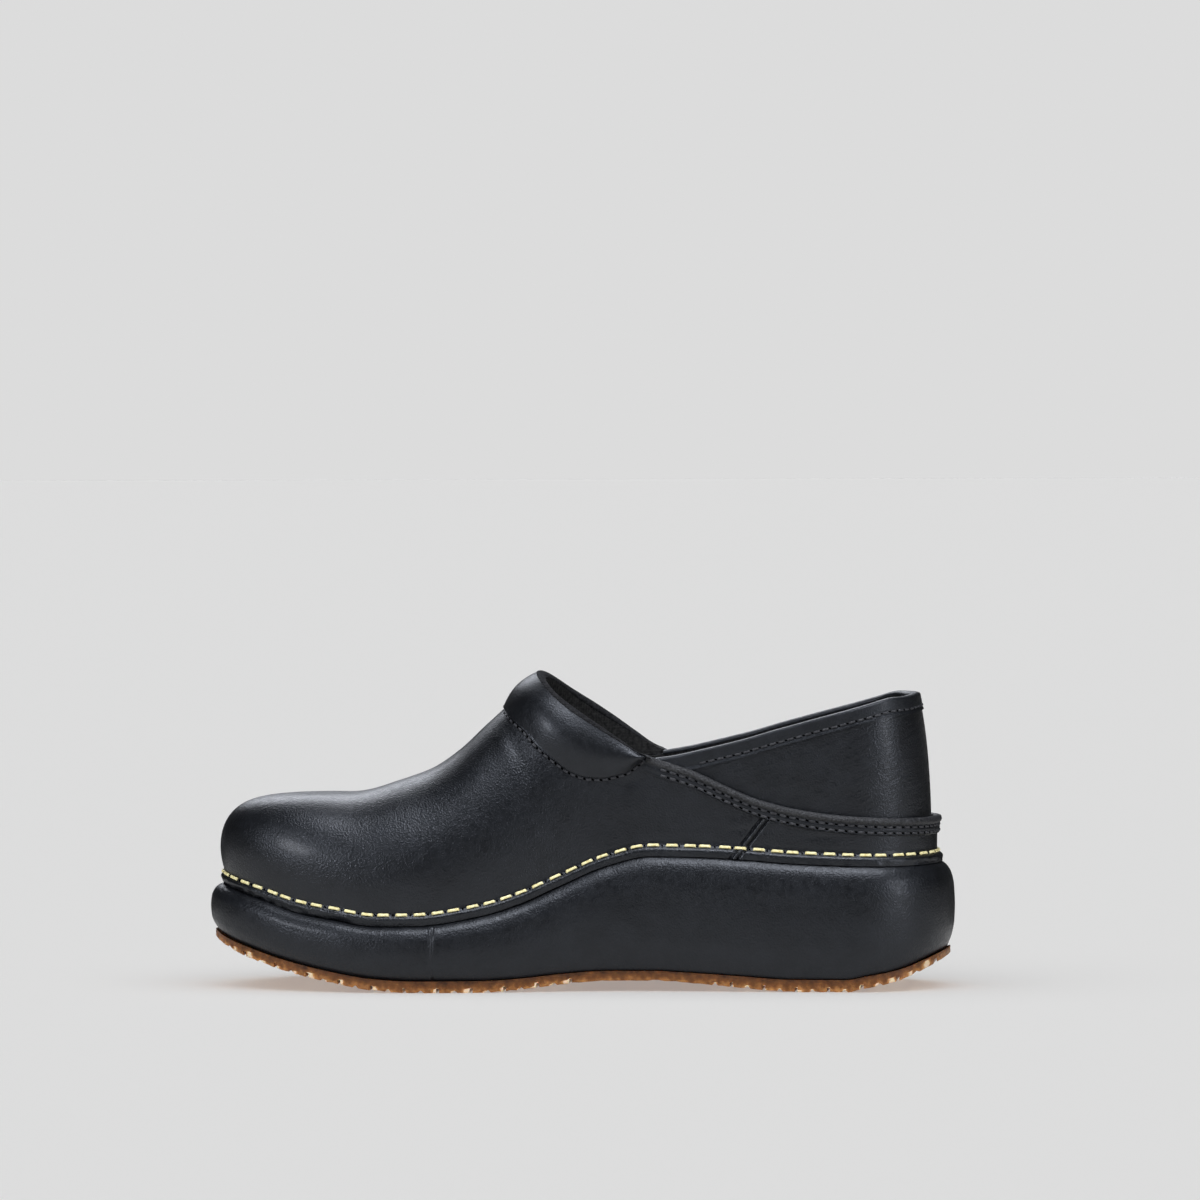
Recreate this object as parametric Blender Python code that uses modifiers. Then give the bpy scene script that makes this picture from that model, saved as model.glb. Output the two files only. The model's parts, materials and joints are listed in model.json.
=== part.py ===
"""A closed-back leather chef clog for the right foot, standing empty on its sole.

+X points to the toe, +Z up and +Y to the inner side of the foot. The origin is at the middle of the
box, on the floor. Every piece is worked out from one outline, one side profile and one last.
"""

import math

import bpy
import numpy as np

# Platform, in metres
LENGTH = 0.276
BULGE = 0.0048
BALL_WIDTH = 0.1050
HEEL_WIDTH = 0.0756
INNER_WAIST = 0.0325
OUTER_WAIST = 0.0362
TOE_APEX = 0.0140
RIDGE_TURN = 0.0060
HEEL_HEIGHT = 0.0490
TOE_SPRING = 0.0215
ARCH_RISE = 0.0039
HEEL_BEVEL = 0.0150
OUTSOLE = 0.0045
OUTSOLE_LEDGE = 0.0010
OUTSOLE_EDGE = OUTSOLE / 4
OUTSOLE_BEVEL = OUTSOLE / 10
GAP = 0.0003

# Tread
TREAD_PITCH = 0.0119
SLIT_WIDTH = 0.0010
SLIT_DEPTH = 0.0017
NOTCH_WIDTH = 0.0022
NOTCH_DEPTH = 0.0010
WALL_SLOPE = 0.00008

# Upper and last
UPPER_WALL = 0.0020
MARGIN = 0.0020
MARGIN_HEIGHT = 0.0060
INSTEP_HEIGHT = 0.0809
COUNTER_HEIGHT = 0.0628
COUNTER_WALL = 0.0034
INSOLE = 0.0030
LAST_BULGE = 0.0034

# Trim
BAND_WIDTH = 0.0066
BAND_THICK = 0.0011
BAND_RISE = 0.0004
PAD_GAP = 0.0004
PAD_EDGE = 0.0005
PAD_RIM = 0.0016
PAD_PUFF = 0.0029
BINDING_WIDTH = 0.0064
BINDING_INNER = 0.0022
BINDING_THICK = 0.0009
FOLD_DROP = 0.0017
COUNTER_DROP = 0.0012

# The outline's round ends. reach: length as a share of the half width; round: the heel's exponent
ENDS = {
    "heel": {"reach": 1.06, "round": 2.2},
    "toe": {"reach": 0.94},
}

HALF = LENGTH / 2
TIP = HALF - BULGE
BACK = -TIP
BALL_HALF = BALL_WIDTH / 2 - BULGE
HEEL_HALF = HEEL_WIDTH / 2 - BULGE
HEEL_CENTRE = BACK + ENDS["heel"]["reach"] * HEEL_HALF
TOE_CENTRE = TIP - ENDS["toe"]["reach"] * BALL_HALF

# The outline's two sides: places are shares of LENGTH from the heel, toe is the roundness of its end
OUTLINE = {
    1: {"waist": INNER_WAIST, "waist_at": 0.40, "ball_at": 0.725, "toe": 2.00},
    -1: {"waist": OUTER_WAIST, "waist_at": 0.36, "ball_at": 0.665, "toe": 2.10},
}

# The side profile. at: share of LENGTH; arch, toe and heel: shares of ARCH_RISE, TOE_SPRING and
# HEEL_BEVEL that lift the tread; rubber: share of OUTSOLE; feather: share of HEEL_HEIGHT
PROFILE = [
    {"at": 0.000, "arch": 0.00, "toe": 0.000, "heel": 1.00, "rubber": 0.50, "feather": 0.945},
    {"at": 0.036, "arch": 0.00, "toe": 0.000, "heel": 0.60, "rubber": 0.75, "feather": 0.935},
    {"at": 0.076, "arch": 0.00, "toe": 0.000, "heel": 0.25, "rubber": 0.92, "feather": 0.931},
    {"at": 0.116, "arch": 0.00, "toe": 0.000, "heel": 0.08, "rubber": 0.98, "feather": 0.933},
    {"at": 0.138, "arch": 0.00, "toe": 0.000, "heel": 0.00, "rubber": 1.00, "feather": 0.937},
    {"at": 0.210, "arch": 0.00, "toe": 0.000, "heel": 0.00, "rubber": 1.00, "feather": 0.953},
    {"at": 0.268, "arch": 0.31, "toe": 0.000, "heel": 0.00, "rubber": 0.95, "feather": 0.978},
    {"at": 0.333, "arch": 0.72, "toe": 0.000, "heel": 0.00, "rubber": 0.85, "feather": 0.998},
    {"at": 0.399, "arch": 1.00, "toe": 0.000, "heel": 0.00, "rubber": 0.80, "feather": 1.004},
    {"at": 0.457, "arch": 1.00, "toe": 0.000, "heel": 0.00, "rubber": 0.80, "feather": 0.931},
    {"at": 0.518, "arch": 0.69, "toe": 0.000, "heel": 0.00, "rubber": 0.85, "feather": 0.784},
    {"at": 0.572, "arch": 0.23, "toe": 0.000, "heel": 0.00, "rubber": 0.92, "feather": 0.649},
    {"at": 0.623, "arch": 0.00, "toe": 0.000, "heel": 0.00, "rubber": 0.95, "feather": 0.563},
    {"at": 0.707, "arch": 0.00, "toe": 0.000, "heel": 0.00, "rubber": 0.95, "feather": 0.494},
    {"at": 0.761, "arch": 0.00, "toe": 0.037, "heel": 0.00, "rubber": 0.93, "feather": 0.490},
    {"at": 0.819, "arch": 0.00, "toe": 0.163, "heel": 0.00, "rubber": 0.88, "feather": 0.537},
    {"at": 0.866, "arch": 0.00, "toe": 0.293, "heel": 0.00, "rubber": 0.88, "feather": 0.584},
    {"at": 0.917, "arch": 0.00, "toe": 0.479, "heel": 0.00, "rubber": 0.88, "feather": 0.673},
    {"at": 0.960, "arch": 0.00, "toe": 0.693, "heel": 0.00, "rubber": 0.75, "feather": 0.741},
    {"at": 1.000, "arch": 0.00, "toe": 1.000, "heel": 0.00, "rubber": 0.50, "feather": 0.815},
]

# The midsole's side, from the feather down: drop is a share of its height, swell of BULGE
SIDE = [
    {"drop": 0.00, "swell": 0.00},
    {"drop": 0.05, "swell": 0.40},
    {"drop": 0.13, "swell": 0.70},
    {"drop": 0.28, "swell": 0.93},
    {"drop": 0.50, "swell": 1.00},
    {"drop": 0.71, "swell": 0.94},
    {"drop": 0.87, "swell": 0.74},
    {"drop": 1.00, "swell": 0.42},
]

# The last. ridge: height over the feather as a share of INSTEP_HEIGHT, and past the throat the height
# that its walls lean towards; full: the section's exponent; swell: share of LAST_BULGE
LAST = [
    {"at": 0.000, "ridge": 1.160, "full": 2.30, "swell": 0.22},
    {"at": 0.070, "ridge": 1.600, "full": 2.30, "swell": 0.22},
    {"at": 0.140, "ridge": 1.776, "full": 2.30, "swell": 0.20},
    {"at": 0.330, "ridge": 1.736, "full": 2.30, "swell": 0.18},
    {"at": 0.428, "ridge": 1.509, "full": 2.30, "swell": 0.20},
    {"at": 0.480, "ridge": 1.312, "full": 2.30, "swell": 0.30},
    {"at": 0.523, "ridge": 1.100, "full": 2.30, "swell": 0.45},
    {"at": 0.554, "ridge": 1.000, "full": 2.32, "swell": 0.60},
    {"at": 0.601, "ridge": 0.915, "full": 2.36, "swell": 0.75},
    {"at": 0.623, "ridge": 0.867, "full": 2.40, "swell": 0.80},
    {"at": 0.663, "ridge": 0.766, "full": 2.48, "swell": 0.85},
    {"at": 0.703, "ridge": 0.692, "full": 2.60, "swell": 0.90},
    {"at": 0.761, "ridge": 0.625, "full": 2.80, "swell": 0.95},
    {"at": 0.820, "ridge": 0.554, "full": 3.20, "swell": 1.00},
    {"at": 0.920, "ridge": 0.513, "full": 4.40, "swell": 1.00},
    {"at": 1.000, "ridge": 0.493, "full": 5.30, "swell": 1.00},
]
SWELL_LOW = 0.85

# The stitched margin's rows, as shares of its height: it stays flat up to the second
MARGIN_STEPS = (0.0, 0.35, 0.7)

# Where the pieces end towards the toe, as shares of LENGTH
ENDS_AT = {"throat": 0.554, "pad": 0.603, "counter": 0.445, "binding": 0.342, "band": 0.407}

# The cuts across the tread, from and to shares of LENGTH, and the smooth stretch under the arch
CUTS_AT = {"first": 0.075, "last": 0.925, "smooth_from": 0.335, "smooth_to": 0.475}

# The edge of the upper, over the feather, as a share of INSTEP_HEIGHT. It starts at the throat
TOPLINE = [
    {"at": 0.000, "top": 0.206},
    {"at": 0.110, "top": 0.218},
    {"at": 0.160, "top": 0.226},
    {"at": 0.207, "top": 0.244},
    {"at": 0.257, "top": 0.275},
    {"at": 0.293, "top": 0.317},
    {"at": 0.341, "top": 0.385},
    {"at": 0.407, "top": 0.460},
    {"at": 0.445, "top": 0.564},
    {"at": 0.483, "top": 0.687},
    {"at": 0.523, "top": 0.846},
    {"at": 0.554, "top": 1.000},
]

# The counter's bound edge over the feather, as a share of COUNTER_HEIGHT
COUNTER_TOP = [
    {"at": 0.000, "top": 1.000},
    {"at": 0.056, "top": 1.000},
    {"at": 0.109, "top": 0.954},
    {"at": 0.167, "top": 0.882},
    {"at": 0.225, "top": 0.799},
    {"at": 0.281, "top": 0.708},
    {"at": 0.342, "top": 0.630},
    {"at": 0.387, "top": 0.586},
    {"at": 0.410, "top": 0.571},
    {"at": 0.445, "top": 0.602},
]

# The padded collar's seam on the instep, over the feather, as a share of INSTEP_HEIGHT
PAD_SEAM = [
    {"at": 0.405, "top": 0.449},
    {"at": 0.416, "top": 0.424},
    {"at": 0.433, "top": 0.399},
    {"at": 0.455, "top": 0.402},
    {"at": 0.479, "top": 0.431},
    {"at": 0.502, "top": 0.490},
    {"at": 0.524, "top": 0.574},
    {"at": 0.546, "top": 0.669},
    {"at": 0.568, "top": 0.777},
    {"at": 0.592, "top": 0.870},
    {"at": 0.603, "top": 0.912},
]

# How many steps the columns and rows are cut into
HEEL_STEPS = 7
BACK_STEPS = 8
SIDE_STEPS = 4
THROAT_STEPS = 5
INSTEP_STEPS = 5
FRONT_STEPS = 7
TOE_STEPS = 9
COLUMN_ROWS = 10
COUNTER_ROWS = 6
PAD_ROWS = 9
BAND_ROWS = 4
FOLD_STEPS = 6
LINE_POINTS = 60
THROAT_REACH = 0.012
PAD_NOSE_STEPS = (0.55, 0.22, 0.05, 0.0)
PAD_LEAST_ANGLE = 0.02
RING_STEP = 1e-4
SKIN_STEP = 2e-3
SHARP_EDGE = math.radians(40)

# Finishes: colour, roughness, metallic
FINISHES = {
    "black_leather": ((0.018, 0.018, 0.020), 0.38, 0.0),
    "padded_leather": ((0.020, 0.020, 0.022), 0.42, 0.0),
    "binding_leather": ((0.016, 0.016, 0.018), 0.45, 0.0),
    "sole_leather": ((0.020, 0.020, 0.022), 0.40, 0.0),
    "gum_rubber": ((0.330, 0.110, 0.030), 0.42, 0.0),
    "lining": ((0.030, 0.029, 0.028), 0.80, 0.0),
}


def place(share):
    """X of a share of the length from the heel."""
    return LENGTH * share - HALF


def share_of(x):
    """Share of the length from the heel at X."""
    return (np.asarray(x, float) + HALF) / LENGTH


def read(table, column, at):
    """A column of a table, read smoothly without overshoot at any place."""
    xs = np.array([row["at"] for row in table])
    ys = np.array([row[column] for row in table])
    steps = np.diff(ys) / np.diff(xs)
    slopes = np.zeros(len(xs))
    for i in range(1, len(xs) - 1):
        if steps[i - 1] * steps[i] > 0:
            slopes[i] = 2 * steps[i - 1] * steps[i] / (steps[i - 1] + steps[i])
    slopes[0], slopes[-1] = steps[0], steps[-1]
    at = np.clip(np.asarray(at, float), xs[0], xs[-1])
    i = np.clip(np.searchsorted(xs, at, side="right") - 1, 0, len(xs) - 2)
    run = xs[i + 1] - xs[i]
    t = (at - xs[i]) / run
    rise = ys[i + 1] - ys[i]
    return (
        ys[i]
        + rise * (3 * t**2 - 2 * t**3)
        + run * slopes[i] * (t - 2 * t**2 + t**3)
        + run * slopes[i + 1] * (t**3 - t**2)
    )


def outline_y(side, x):
    """Y of the welt outline on one side: a round heel, a waist, the ball and a round toe."""
    row = OUTLINE[side]
    waist_x = place(row["waist_at"])
    ball_x = place(row["ball_at"])
    heel_round = ENDS["heel"]["round"]
    t = (np.clip(x, HEEL_CENTRE, waist_x) - HEEL_CENTRE) / (waist_x - HEEL_CENTRE)
    back = HEEL_HALF + (row["waist"] - HEEL_HALF) * t * t * (3 - 2 * t)
    t = (np.clip(x, waist_x, ball_x) - waist_x) / (ball_x - waist_x)
    half = back + (BALL_HALF - row["waist"]) * t * t * (3 - 2 * t)
    heel = np.clip((HEEL_CENTRE - x) / (HEEL_CENTRE - BACK), 0, 1)
    half = half * (1 - heel**heel_round) ** (1 / heel_round)
    toe = np.clip((x - ball_x) / (TIP - ball_x), 0, 1)
    reach = BALL_HALF - side * TOE_APEX
    end = side * TOE_APEX + reach * (1 - toe ** row["toe"]) ** (1 / row["toe"])
    return side * np.where(x > ball_x, end, half)


def ring_x(ring):
    """X on the outline at a place on its ring: 0 heel, 1 and 2 along the inner side, 3 toe, 6 heel."""
    way = np.where(ring < 3, ring, 6 - ring)
    heel = HEEL_CENTRE - (HEEL_CENTRE - BACK) * np.cos(np.clip(way, 0, 1) * math.pi / 2)
    toe = TOE_CENTRE + (TIP - TOE_CENTRE) * np.sin(np.clip(way - 2, 0, 1) * math.pi / 2)
    middle = HEEL_CENTRE + (TOE_CENTRE - HEEL_CENTRE) * (way - 1)
    return np.where(way < 1, heel, np.where(way > 2, toe, middle))


def ring_at(x):
    """Place on the inner half of the ring where the outline has this X."""
    if x < HEEL_CENTRE:
        return math.acos((HEEL_CENTRE - x) / (HEEL_CENTRE - BACK)) / (math.pi / 2)
    if x > TOE_CENTRE:
        return 2 + math.asin((x - TOE_CENTRE) / (TIP - TOE_CENTRE)) / (math.pi / 2)
    return 1 + (x - HEEL_CENTRE) / (TOE_CENTRE - HEEL_CENTRE)


def outline(ring):
    """Points of the welt outline at places on the ring."""
    ring = np.asarray(ring, float) % 6
    x = ring_x(ring)
    y = np.where(ring < 3, outline_y(1, x), outline_y(-1, x))
    return np.stack([x, y], axis=-1)


def grown(ring, grow):
    """The outline moved out by grow along its normal."""
    along = outline(np.asarray(ring) + RING_STEP) - outline(np.asarray(ring) - RING_STEP)
    normal = np.stack([along[..., 1], -along[..., 0]], axis=-1)
    normal = normal / np.linalg.norm(normal, axis=-1, keepdims=True)
    return outline(ring) - normal * np.asarray(grow)[..., None]


def feather(x):
    """Height of the crease where the upper meets the platform."""
    return HEEL_HEIGHT * read(PROFILE, "feather", share_of(x))


def tread(x):
    """Height of the outsole's underside."""
    at = share_of(x)
    rise = ARCH_RISE * read(PROFILE, "arch", at) + TOE_SPRING * read(PROFILE, "toe", at)
    return rise + HEEL_BEVEL * read(PROFILE, "heel", at)


def rubber_top(x):
    """Height of the seam between midsole and outsole."""
    return tread(x) + OUTSOLE * read(PROFILE, "rubber", share_of(x))


def spine(x):
    """Y of the last's ridge, which turns in towards the big toe."""
    start = place(OUTLINE[1]["waist_at"])
    t = np.clip((x - start) / (TOE_CENTRE - start), 0, 1)
    return RIDGE_TURN * t * t * (3 - 2 * t)


def rise_of(table, size, ring):
    """Height over the feather of a line that a table gives, at places on the ring."""
    return size * read(table, "top", share_of(ring_x(np.asarray(ring, float) % 6)))


def ridge_rise(ring):
    """Height of the ridge over the feather: round the toe all columns meet at one point."""
    x = ring_x(np.asarray(ring, float) % 6)
    top = np.minimum(x, TOE_CENTRE)
    return feather(top) - feather(x) + INSTEP_HEIGHT * read(LAST, "ridge", share_of(top))


def lean(ring, rise):
    """Angle on the last's section at a height over the feather."""
    full = read(LAST, "full", share_of(ring_x(np.asarray(ring, float) % 6)))
    s = np.clip(rise / ridge_rise(ring), 0, 1)
    return np.arctan2(s, (1 - s**full) ** (1 / full))


def last(ring, angle):
    """Points on the outside of the upper: angle 0 is the feather, a right angle is the ridge."""
    ring = np.asarray(ring, float)
    x = ring_x(ring % 6)
    at = share_of(x)
    full = read(LAST, "full", at)
    reach = (np.cos(angle) ** full + np.sin(angle) ** full) ** (1 / full)
    out = np.clip(np.cos(angle), 0, 1) / reach
    up = np.sin(angle) / reach
    foot = grown(ring, -MARGIN * np.ones_like(ring))
    fan_x = np.clip(foot[..., 0], HEEL_CENTRE, TOE_CENTRE)
    inside = (foot[..., 0] > HEEL_CENTRE) & (foot[..., 0] < TOE_CENTRE)
    anchor = np.stack([np.where(inside, foot[..., 0], fan_x), spine(fan_x)], axis=-1)
    spoke = foot - anchor
    length = np.linalg.norm(spoke, axis=-1)
    height = ridge_rise(ring)
    flare = np.clip((MARGIN_HEIGHT - up * height) / (MARGIN_HEIGHT * (1 - MARGIN_STEPS[1])), 0, 1)
    puff = LAST_BULGE * read(LAST, "swell", at) * np.sin(math.pi * np.clip(up, 0, 1) ** SWELL_LOW)
    reach_out = length * out + puff + MARGIN * flare * flare * (3 - 2 * flare)
    plan = anchor + spoke / length[..., None] * reach_out[..., None]
    base = feather(x) + GAP
    return np.concatenate([plan, (base + up * height)[..., None]], axis=-1)


def skin(ring, angle, lift=0.0):
    """Points of the last moved along its normal by lift."""
    ring, angle = np.broadcast_arrays(np.asarray(ring, float), np.asarray(angle, float))
    across = last(ring + SKIN_STEP, angle) - last(ring - SKIN_STEP, angle)
    over, under = np.minimum(angle + SKIN_STEP, math.pi / 2), np.maximum(angle - SKIN_STEP, 0)
    up = last(ring, over) - last(ring, under)
    normal = np.cross(up, across)
    size = np.linalg.norm(normal, axis=-1, keepdims=True)
    normal = np.where(size > 1e-12, normal / np.maximum(size, 1e-12), [0.0, 0.0, 1.0])
    return last(ring, angle) + normal * np.asarray(lift)[..., None]


def ring_steps():
    """Places on the inner half of the ring where the upper has a column."""
    heel = list(np.linspace(0, 1, HEEL_STEPS + 1))
    throat = place(ENDS_AT["throat"])
    near = [throat - THROAT_REACH * (k / THROAT_STEPS) ** 2 for k in range(THROAT_STEPS, -1, -1)]
    pad_back, pad_front = place(PAD_SEAM[0]["at"]), place(ENDS_AT["pad"])
    back = list(np.linspace(HEEL_CENTRE, pad_back, BACK_STEPS + 1))[1:]
    open_sides = list(np.linspace(pad_back, near[0], SIDE_STEPS + 1))[1:-1]
    instep = list(np.linspace(throat, pad_front, INSTEP_STEPS + 1))[1:]
    front = list(np.linspace(pad_front, TOE_CENTRE, FRONT_STEPS + 1))[1:-1]
    middle = [ring_at(x) for x in back + open_sides + near + instep + front]
    toe = list(2 + np.linspace(0, 1, TOE_STEPS + 1))
    return heel + middle + toe


def whole_ring(half):
    """A half ring's places, and the same places on the outer side."""
    return list(half) + [6 - r for r in half[::-1]]


def sheet(columns, closed=False):
    """Vertices and quads of a grid given as columns of points, with equal points joined."""
    verts, faces, known = [], [], {}

    def number(point):
        key = tuple(round(float(c), 7) for c in point)
        if key not in known:
            known[key] = len(verts)
            verts.append(tuple(float(c) for c in point))
        return known[key]

    grid = [[number(p) for p in column] for column in columns]
    count = len(grid)
    for i in range(count if closed else count - 1):
        left, right = grid[i], grid[(i + 1) % count]
        for j in range(len(left) - 1):
            face = []
            for n in (left[j], left[j + 1], right[j + 1], right[j]):
                if n not in face:
                    face.append(n)
            if len(face) > 2:
                faces.append(face)
    return verts, faces


def finish(name):
    """The named material, made once."""
    material = bpy.data.materials.get(name) or bpy.data.materials.new(name)
    colour, roughness, metallic = FINISHES[name]
    material.use_nodes = True
    shader = material.node_tree.nodes["Principled BSDF"]
    shader.inputs["Base Color"].default_value = (*colour, 1.0)
    shader.inputs["Roughness"].default_value = roughness
    shader.inputs["Metallic"].default_value = metallic
    return material


def add_object(name, verts, faces, material, collection):
    """A mesh object with faces pointing out."""
    mesh = bpy.data.meshes.new(name)
    mesh.from_pydata(verts, [], faces)
    mesh.validate()
    mesh.materials.append(finish(material))
    mesh.shade_smooth()
    obj = bpy.data.objects.new(name, mesh)
    collection.objects.link(obj)
    return obj


def add_shell(name, columns, wall, outward, closed, material, collection):
    """An open sheet given thickness, on its outer or its inner side."""
    verts, faces = sheet(columns, closed)
    obj = add_object(name, verts, faces, material, collection)
    solid = obj.modifiers.new("wall", "SOLIDIFY")
    solid.thickness = wall
    solid.offset = 1.0 if outward else -1.0
    solid.use_even_offset = True
    solid.use_quality_normals = True
    obj.data.set_sharp_from_angle(angle=SHARP_EDGE)
    return obj


def thick_sheet(name, inner, outer, material, collection):
    """A closed solid between two sheets of the same grid, for a pad of changing thickness."""
    low, faces = sheet(inner)
    high, _ = sheet(outer)
    base = len(low)
    edges = {}
    for face in faces:
        for a, b in zip(face, face[1:] + face[:1]):
            edges[(a, b)] = (b, a) in edges or edges.get((a, b), False)
            if (b, a) in edges:
                edges[(b, a)] = edges[(a, b)] = True
    sides = [[a, b, b + base, a + base] for (a, b), shared in edges.items() if not shared]
    under = [list(reversed(face)) for face in faces]
    over = [[n + base for n in face] for face in faces]
    obj = add_object(name, low + high, under + over + sides, material, collection)
    obj.data.set_sharp_from_angle(angle=SHARP_EDGE)
    return obj


def ladder_solid(name, stations, rows, material, collection):
    """A closed solid around the ring: rows are loops of points from top to bottom, capped across."""
    half = len(stations)
    count = 2 * half - 2
    verts = [tuple(float(c) for c in p) for row in rows for p in row]
    faces = []
    for k in range(len(rows) - 1):
        for i in range(count):
            j = (i + 1) % count
            faces.append([k * count + i, k * count + j, (k + 1) * count + j, (k + 1) * count + i])
    for k, flip in ((0, True), (len(rows) - 1, False)):
        base = k * count
        for i in range(half - 1):
            a, b = i, i + 1
            c, d = (count - b) % count, (count - a) % count
            face = []
            for n in (a, b, c, d):
                if base + n not in face:
                    face.append(base + n)
            faces.append(list(reversed(face)) if flip else face)
    obj = add_object(name, verts, faces, material, collection)
    obj.data.set_sharp_from_angle(angle=SHARP_EDGE)
    return obj


def loop_of(stations):
    """Ring places once round, from the heel by the inner side to the toe and back."""
    return np.array(list(stations) + [6 - r for r in stations[-2:0:-1]])


def platform_loop(ring, grow, height):
    """A loop of points at an offset of the outline, each at a height worked out from its X."""
    plan = grown(ring, grow * np.ones_like(ring))
    return np.column_stack([plan, height(ring_x(ring))])


def add_midsole(collection):
    """The bulging platform under the upper, wrapped in leather."""
    stations = ring_steps()
    ring = loop_of(stations)
    rows = []
    for row in SIDE:
        plan = grown(ring, BULGE * row["swell"] * np.ones_like(ring))
        top, bottom = feather(ring_x(ring)), rubber_top(ring_x(ring)) + GAP
        rows.append(np.column_stack([plan, top + (bottom - top) * row["drop"]]))
    return ladder_solid("midsole", stations, rows, "sole_leather", collection)


def tread_stations():
    """Places along the outsole with the depth cut there: slits and shallow notches between them."""
    cuts = {}
    for x in [ring_x(np.array(r)).item() for r in ring_steps()]:
        cuts[x] = 0.0
    first, last_x = place(CUTS_AT["first"]), place(CUTS_AT["last"])
    smooth_from, smooth_to = place(CUTS_AT["smooth_from"]), place(CUTS_AT["smooth_to"])
    edge = SLIT_WIDTH / 2
    clear = 3 * WALL_SLOPE
    for k in range(int((last_x - first) / TREAD_PITCH) + 1):
        slit = first + k * TREAD_PITCH
        notch = slit + TREAD_PITCH / 2
        if smooth_from - TREAD_PITCH < slit < smooth_to:
            continue
        for x in list(cuts):
            if abs(x - slit) < edge + clear or abs(x - notch) < NOTCH_WIDTH / 2 + clear:
                del cuts[x]
        cuts[slit - edge - WALL_SLOPE] = 0.0
        cuts[slit - edge] = SLIT_DEPTH
        cuts[slit + edge] = SLIT_DEPTH
        cuts[slit + edge + WALL_SLOPE] = 0.0
        cuts[notch - NOTCH_WIDTH / 2] = 0.0
        cuts[notch] = NOTCH_DEPTH
        cuts[notch + NOTCH_WIDTH / 2] = 0.0
    cuts[float(BACK)] = 0.0
    cuts[float(TIP)] = 0.0
    return sorted(cuts.items())


def add_outsole(collection):
    """The thin rubber outsole with a rocker, a flat spot at heel and ball and cuts across its tread."""
    pairs = tread_stations()
    stations = [ring_at(x) for x, _ in pairs]
    depth_x = np.array([x for x, _ in pairs])
    depth = np.array([d for _, d in pairs])
    ring = loop_of(stations)
    ledge = BULGE * SIDE[-1]["swell"] + OUTSOLE_LEDGE

    def ground(x):
        return tread(x) + np.interp(x, depth_x, depth)

    def shoulder(x):
        return np.maximum(tread(x) + OUTSOLE_EDGE, ground(x) + OUTSOLE_BEVEL)

    rows = [
        platform_loop(ring, ledge, rubber_top),
        platform_loop(ring, ledge, shoulder),
        platform_loop(ring, ledge - OUTSOLE_BEVEL, ground),
    ]
    return ladder_solid("outsole", stations, rows, "gum_rubber", collection)


def add_insole(collection):
    """The footbed inside the upper."""
    stations = ring_steps()
    ring = loop_of(stations)
    inset = -(MARGIN + UPPER_WALL + 2 * GAP)
    rows = [
        platform_loop(ring, inset, lambda x: feather(x) + 2 * GAP + INSOLE),
        platform_loop(ring, inset, lambda x: feather(x) + 2 * GAP),
    ]
    return ladder_solid("insole", stations, rows, "lining", collection)


def column_angles(ring, top):
    """Angles of a column's rows: the stitched margin, then even steps to the top."""
    start = float(lean(ring, MARGIN_HEIGHT))
    foot = [float(lean(ring, MARGIN_HEIGHT * share)) for share in MARGIN_STEPS]
    return np.array(foot + list(np.linspace(start, top, COLUMN_ROWS)))


def add_upper(collection):
    """The vamp and the heel strip: one hollow wall from the stitched margin to the topline."""
    throat = ring_at(place(ENDS_AT["throat"]))
    columns = []
    for ring in whole_ring(ring_steps()):
        way = ring if ring < 3 else 6 - ring
        top = math.pi / 2
        if way < throat:
            top = float(lean(ring, rise_of(TOPLINE, INSTEP_HEIGHT, ring)))
        angles = column_angles(ring, top)
        columns.append(skin(np.full(len(angles), ring), angles))
    return add_shell("upper", columns, UPPER_WALL, False, True, "black_leather", collection)


def round_heel(half):
    """Places on the ring from the outer side round the heel to the inner side."""
    return [6 - q for q in half[::-1]] + [6 + q for q in half[1:]]


def heel_rings(front_x):
    """Ring places round the heel, from the outer side to the inner, both ending at this X."""
    front = ring_at(front_x)
    return round_heel([r for r in ring_steps() if r < front] + [front])


def add_counter(collection):
    """The stiff heel cup that stands up inside the topline."""
    depth = -(UPPER_WALL + GAP)
    low = MARGIN_HEIGHT + 2 * GAP
    columns = []
    for ring in heel_rings(place(ENDS_AT["counter"])):
        top = float(rise_of(COUNTER_TOP, COUNTER_HEIGHT, ring)) - COUNTER_DROP
        rises = low + (top - low) * np.linspace(0, 1, COUNTER_ROWS)
        rings = np.full(COUNTER_ROWS, ring)
        columns.append(skin(rings, lean(rings, rises), np.full(COUNTER_ROWS, depth)))
    return add_shell("counter", columns, COUNTER_WALL, False, False, "black_leather", collection)


def add_counter_binding(collection):
    """The leather strip folded over the counter's edge in a round fold."""
    outer = -UPPER_WALL
    inner = outer - COUNTER_WALL - 2 * GAP
    middle, radius = (outer + inner) / 2, (outer - inner) / 2
    turn = np.linspace(0, math.pi, FOLD_STEPS + 1)
    columns = []
    for ring in heel_rings(place(ENDS_AT["binding"])):
        top = float(rise_of(COUNTER_TOP, COUNTER_HEIGHT, ring))
        fold = top - FOLD_DROP + radius * np.sin(turn)
        rises = np.concatenate([[top - BINDING_WIDTH], fold, [top - BINDING_INNER]])
        lifts = np.concatenate([[outer], middle + radius * np.cos(turn), [inner]])
        rings = np.full(len(rises), ring)
        columns.append(skin(rings, lean(rings, rises), lifts))
    return add_shell(
        "counter_binding", columns, BINDING_THICK, True, False, "binding_leather", collection
    )


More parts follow.
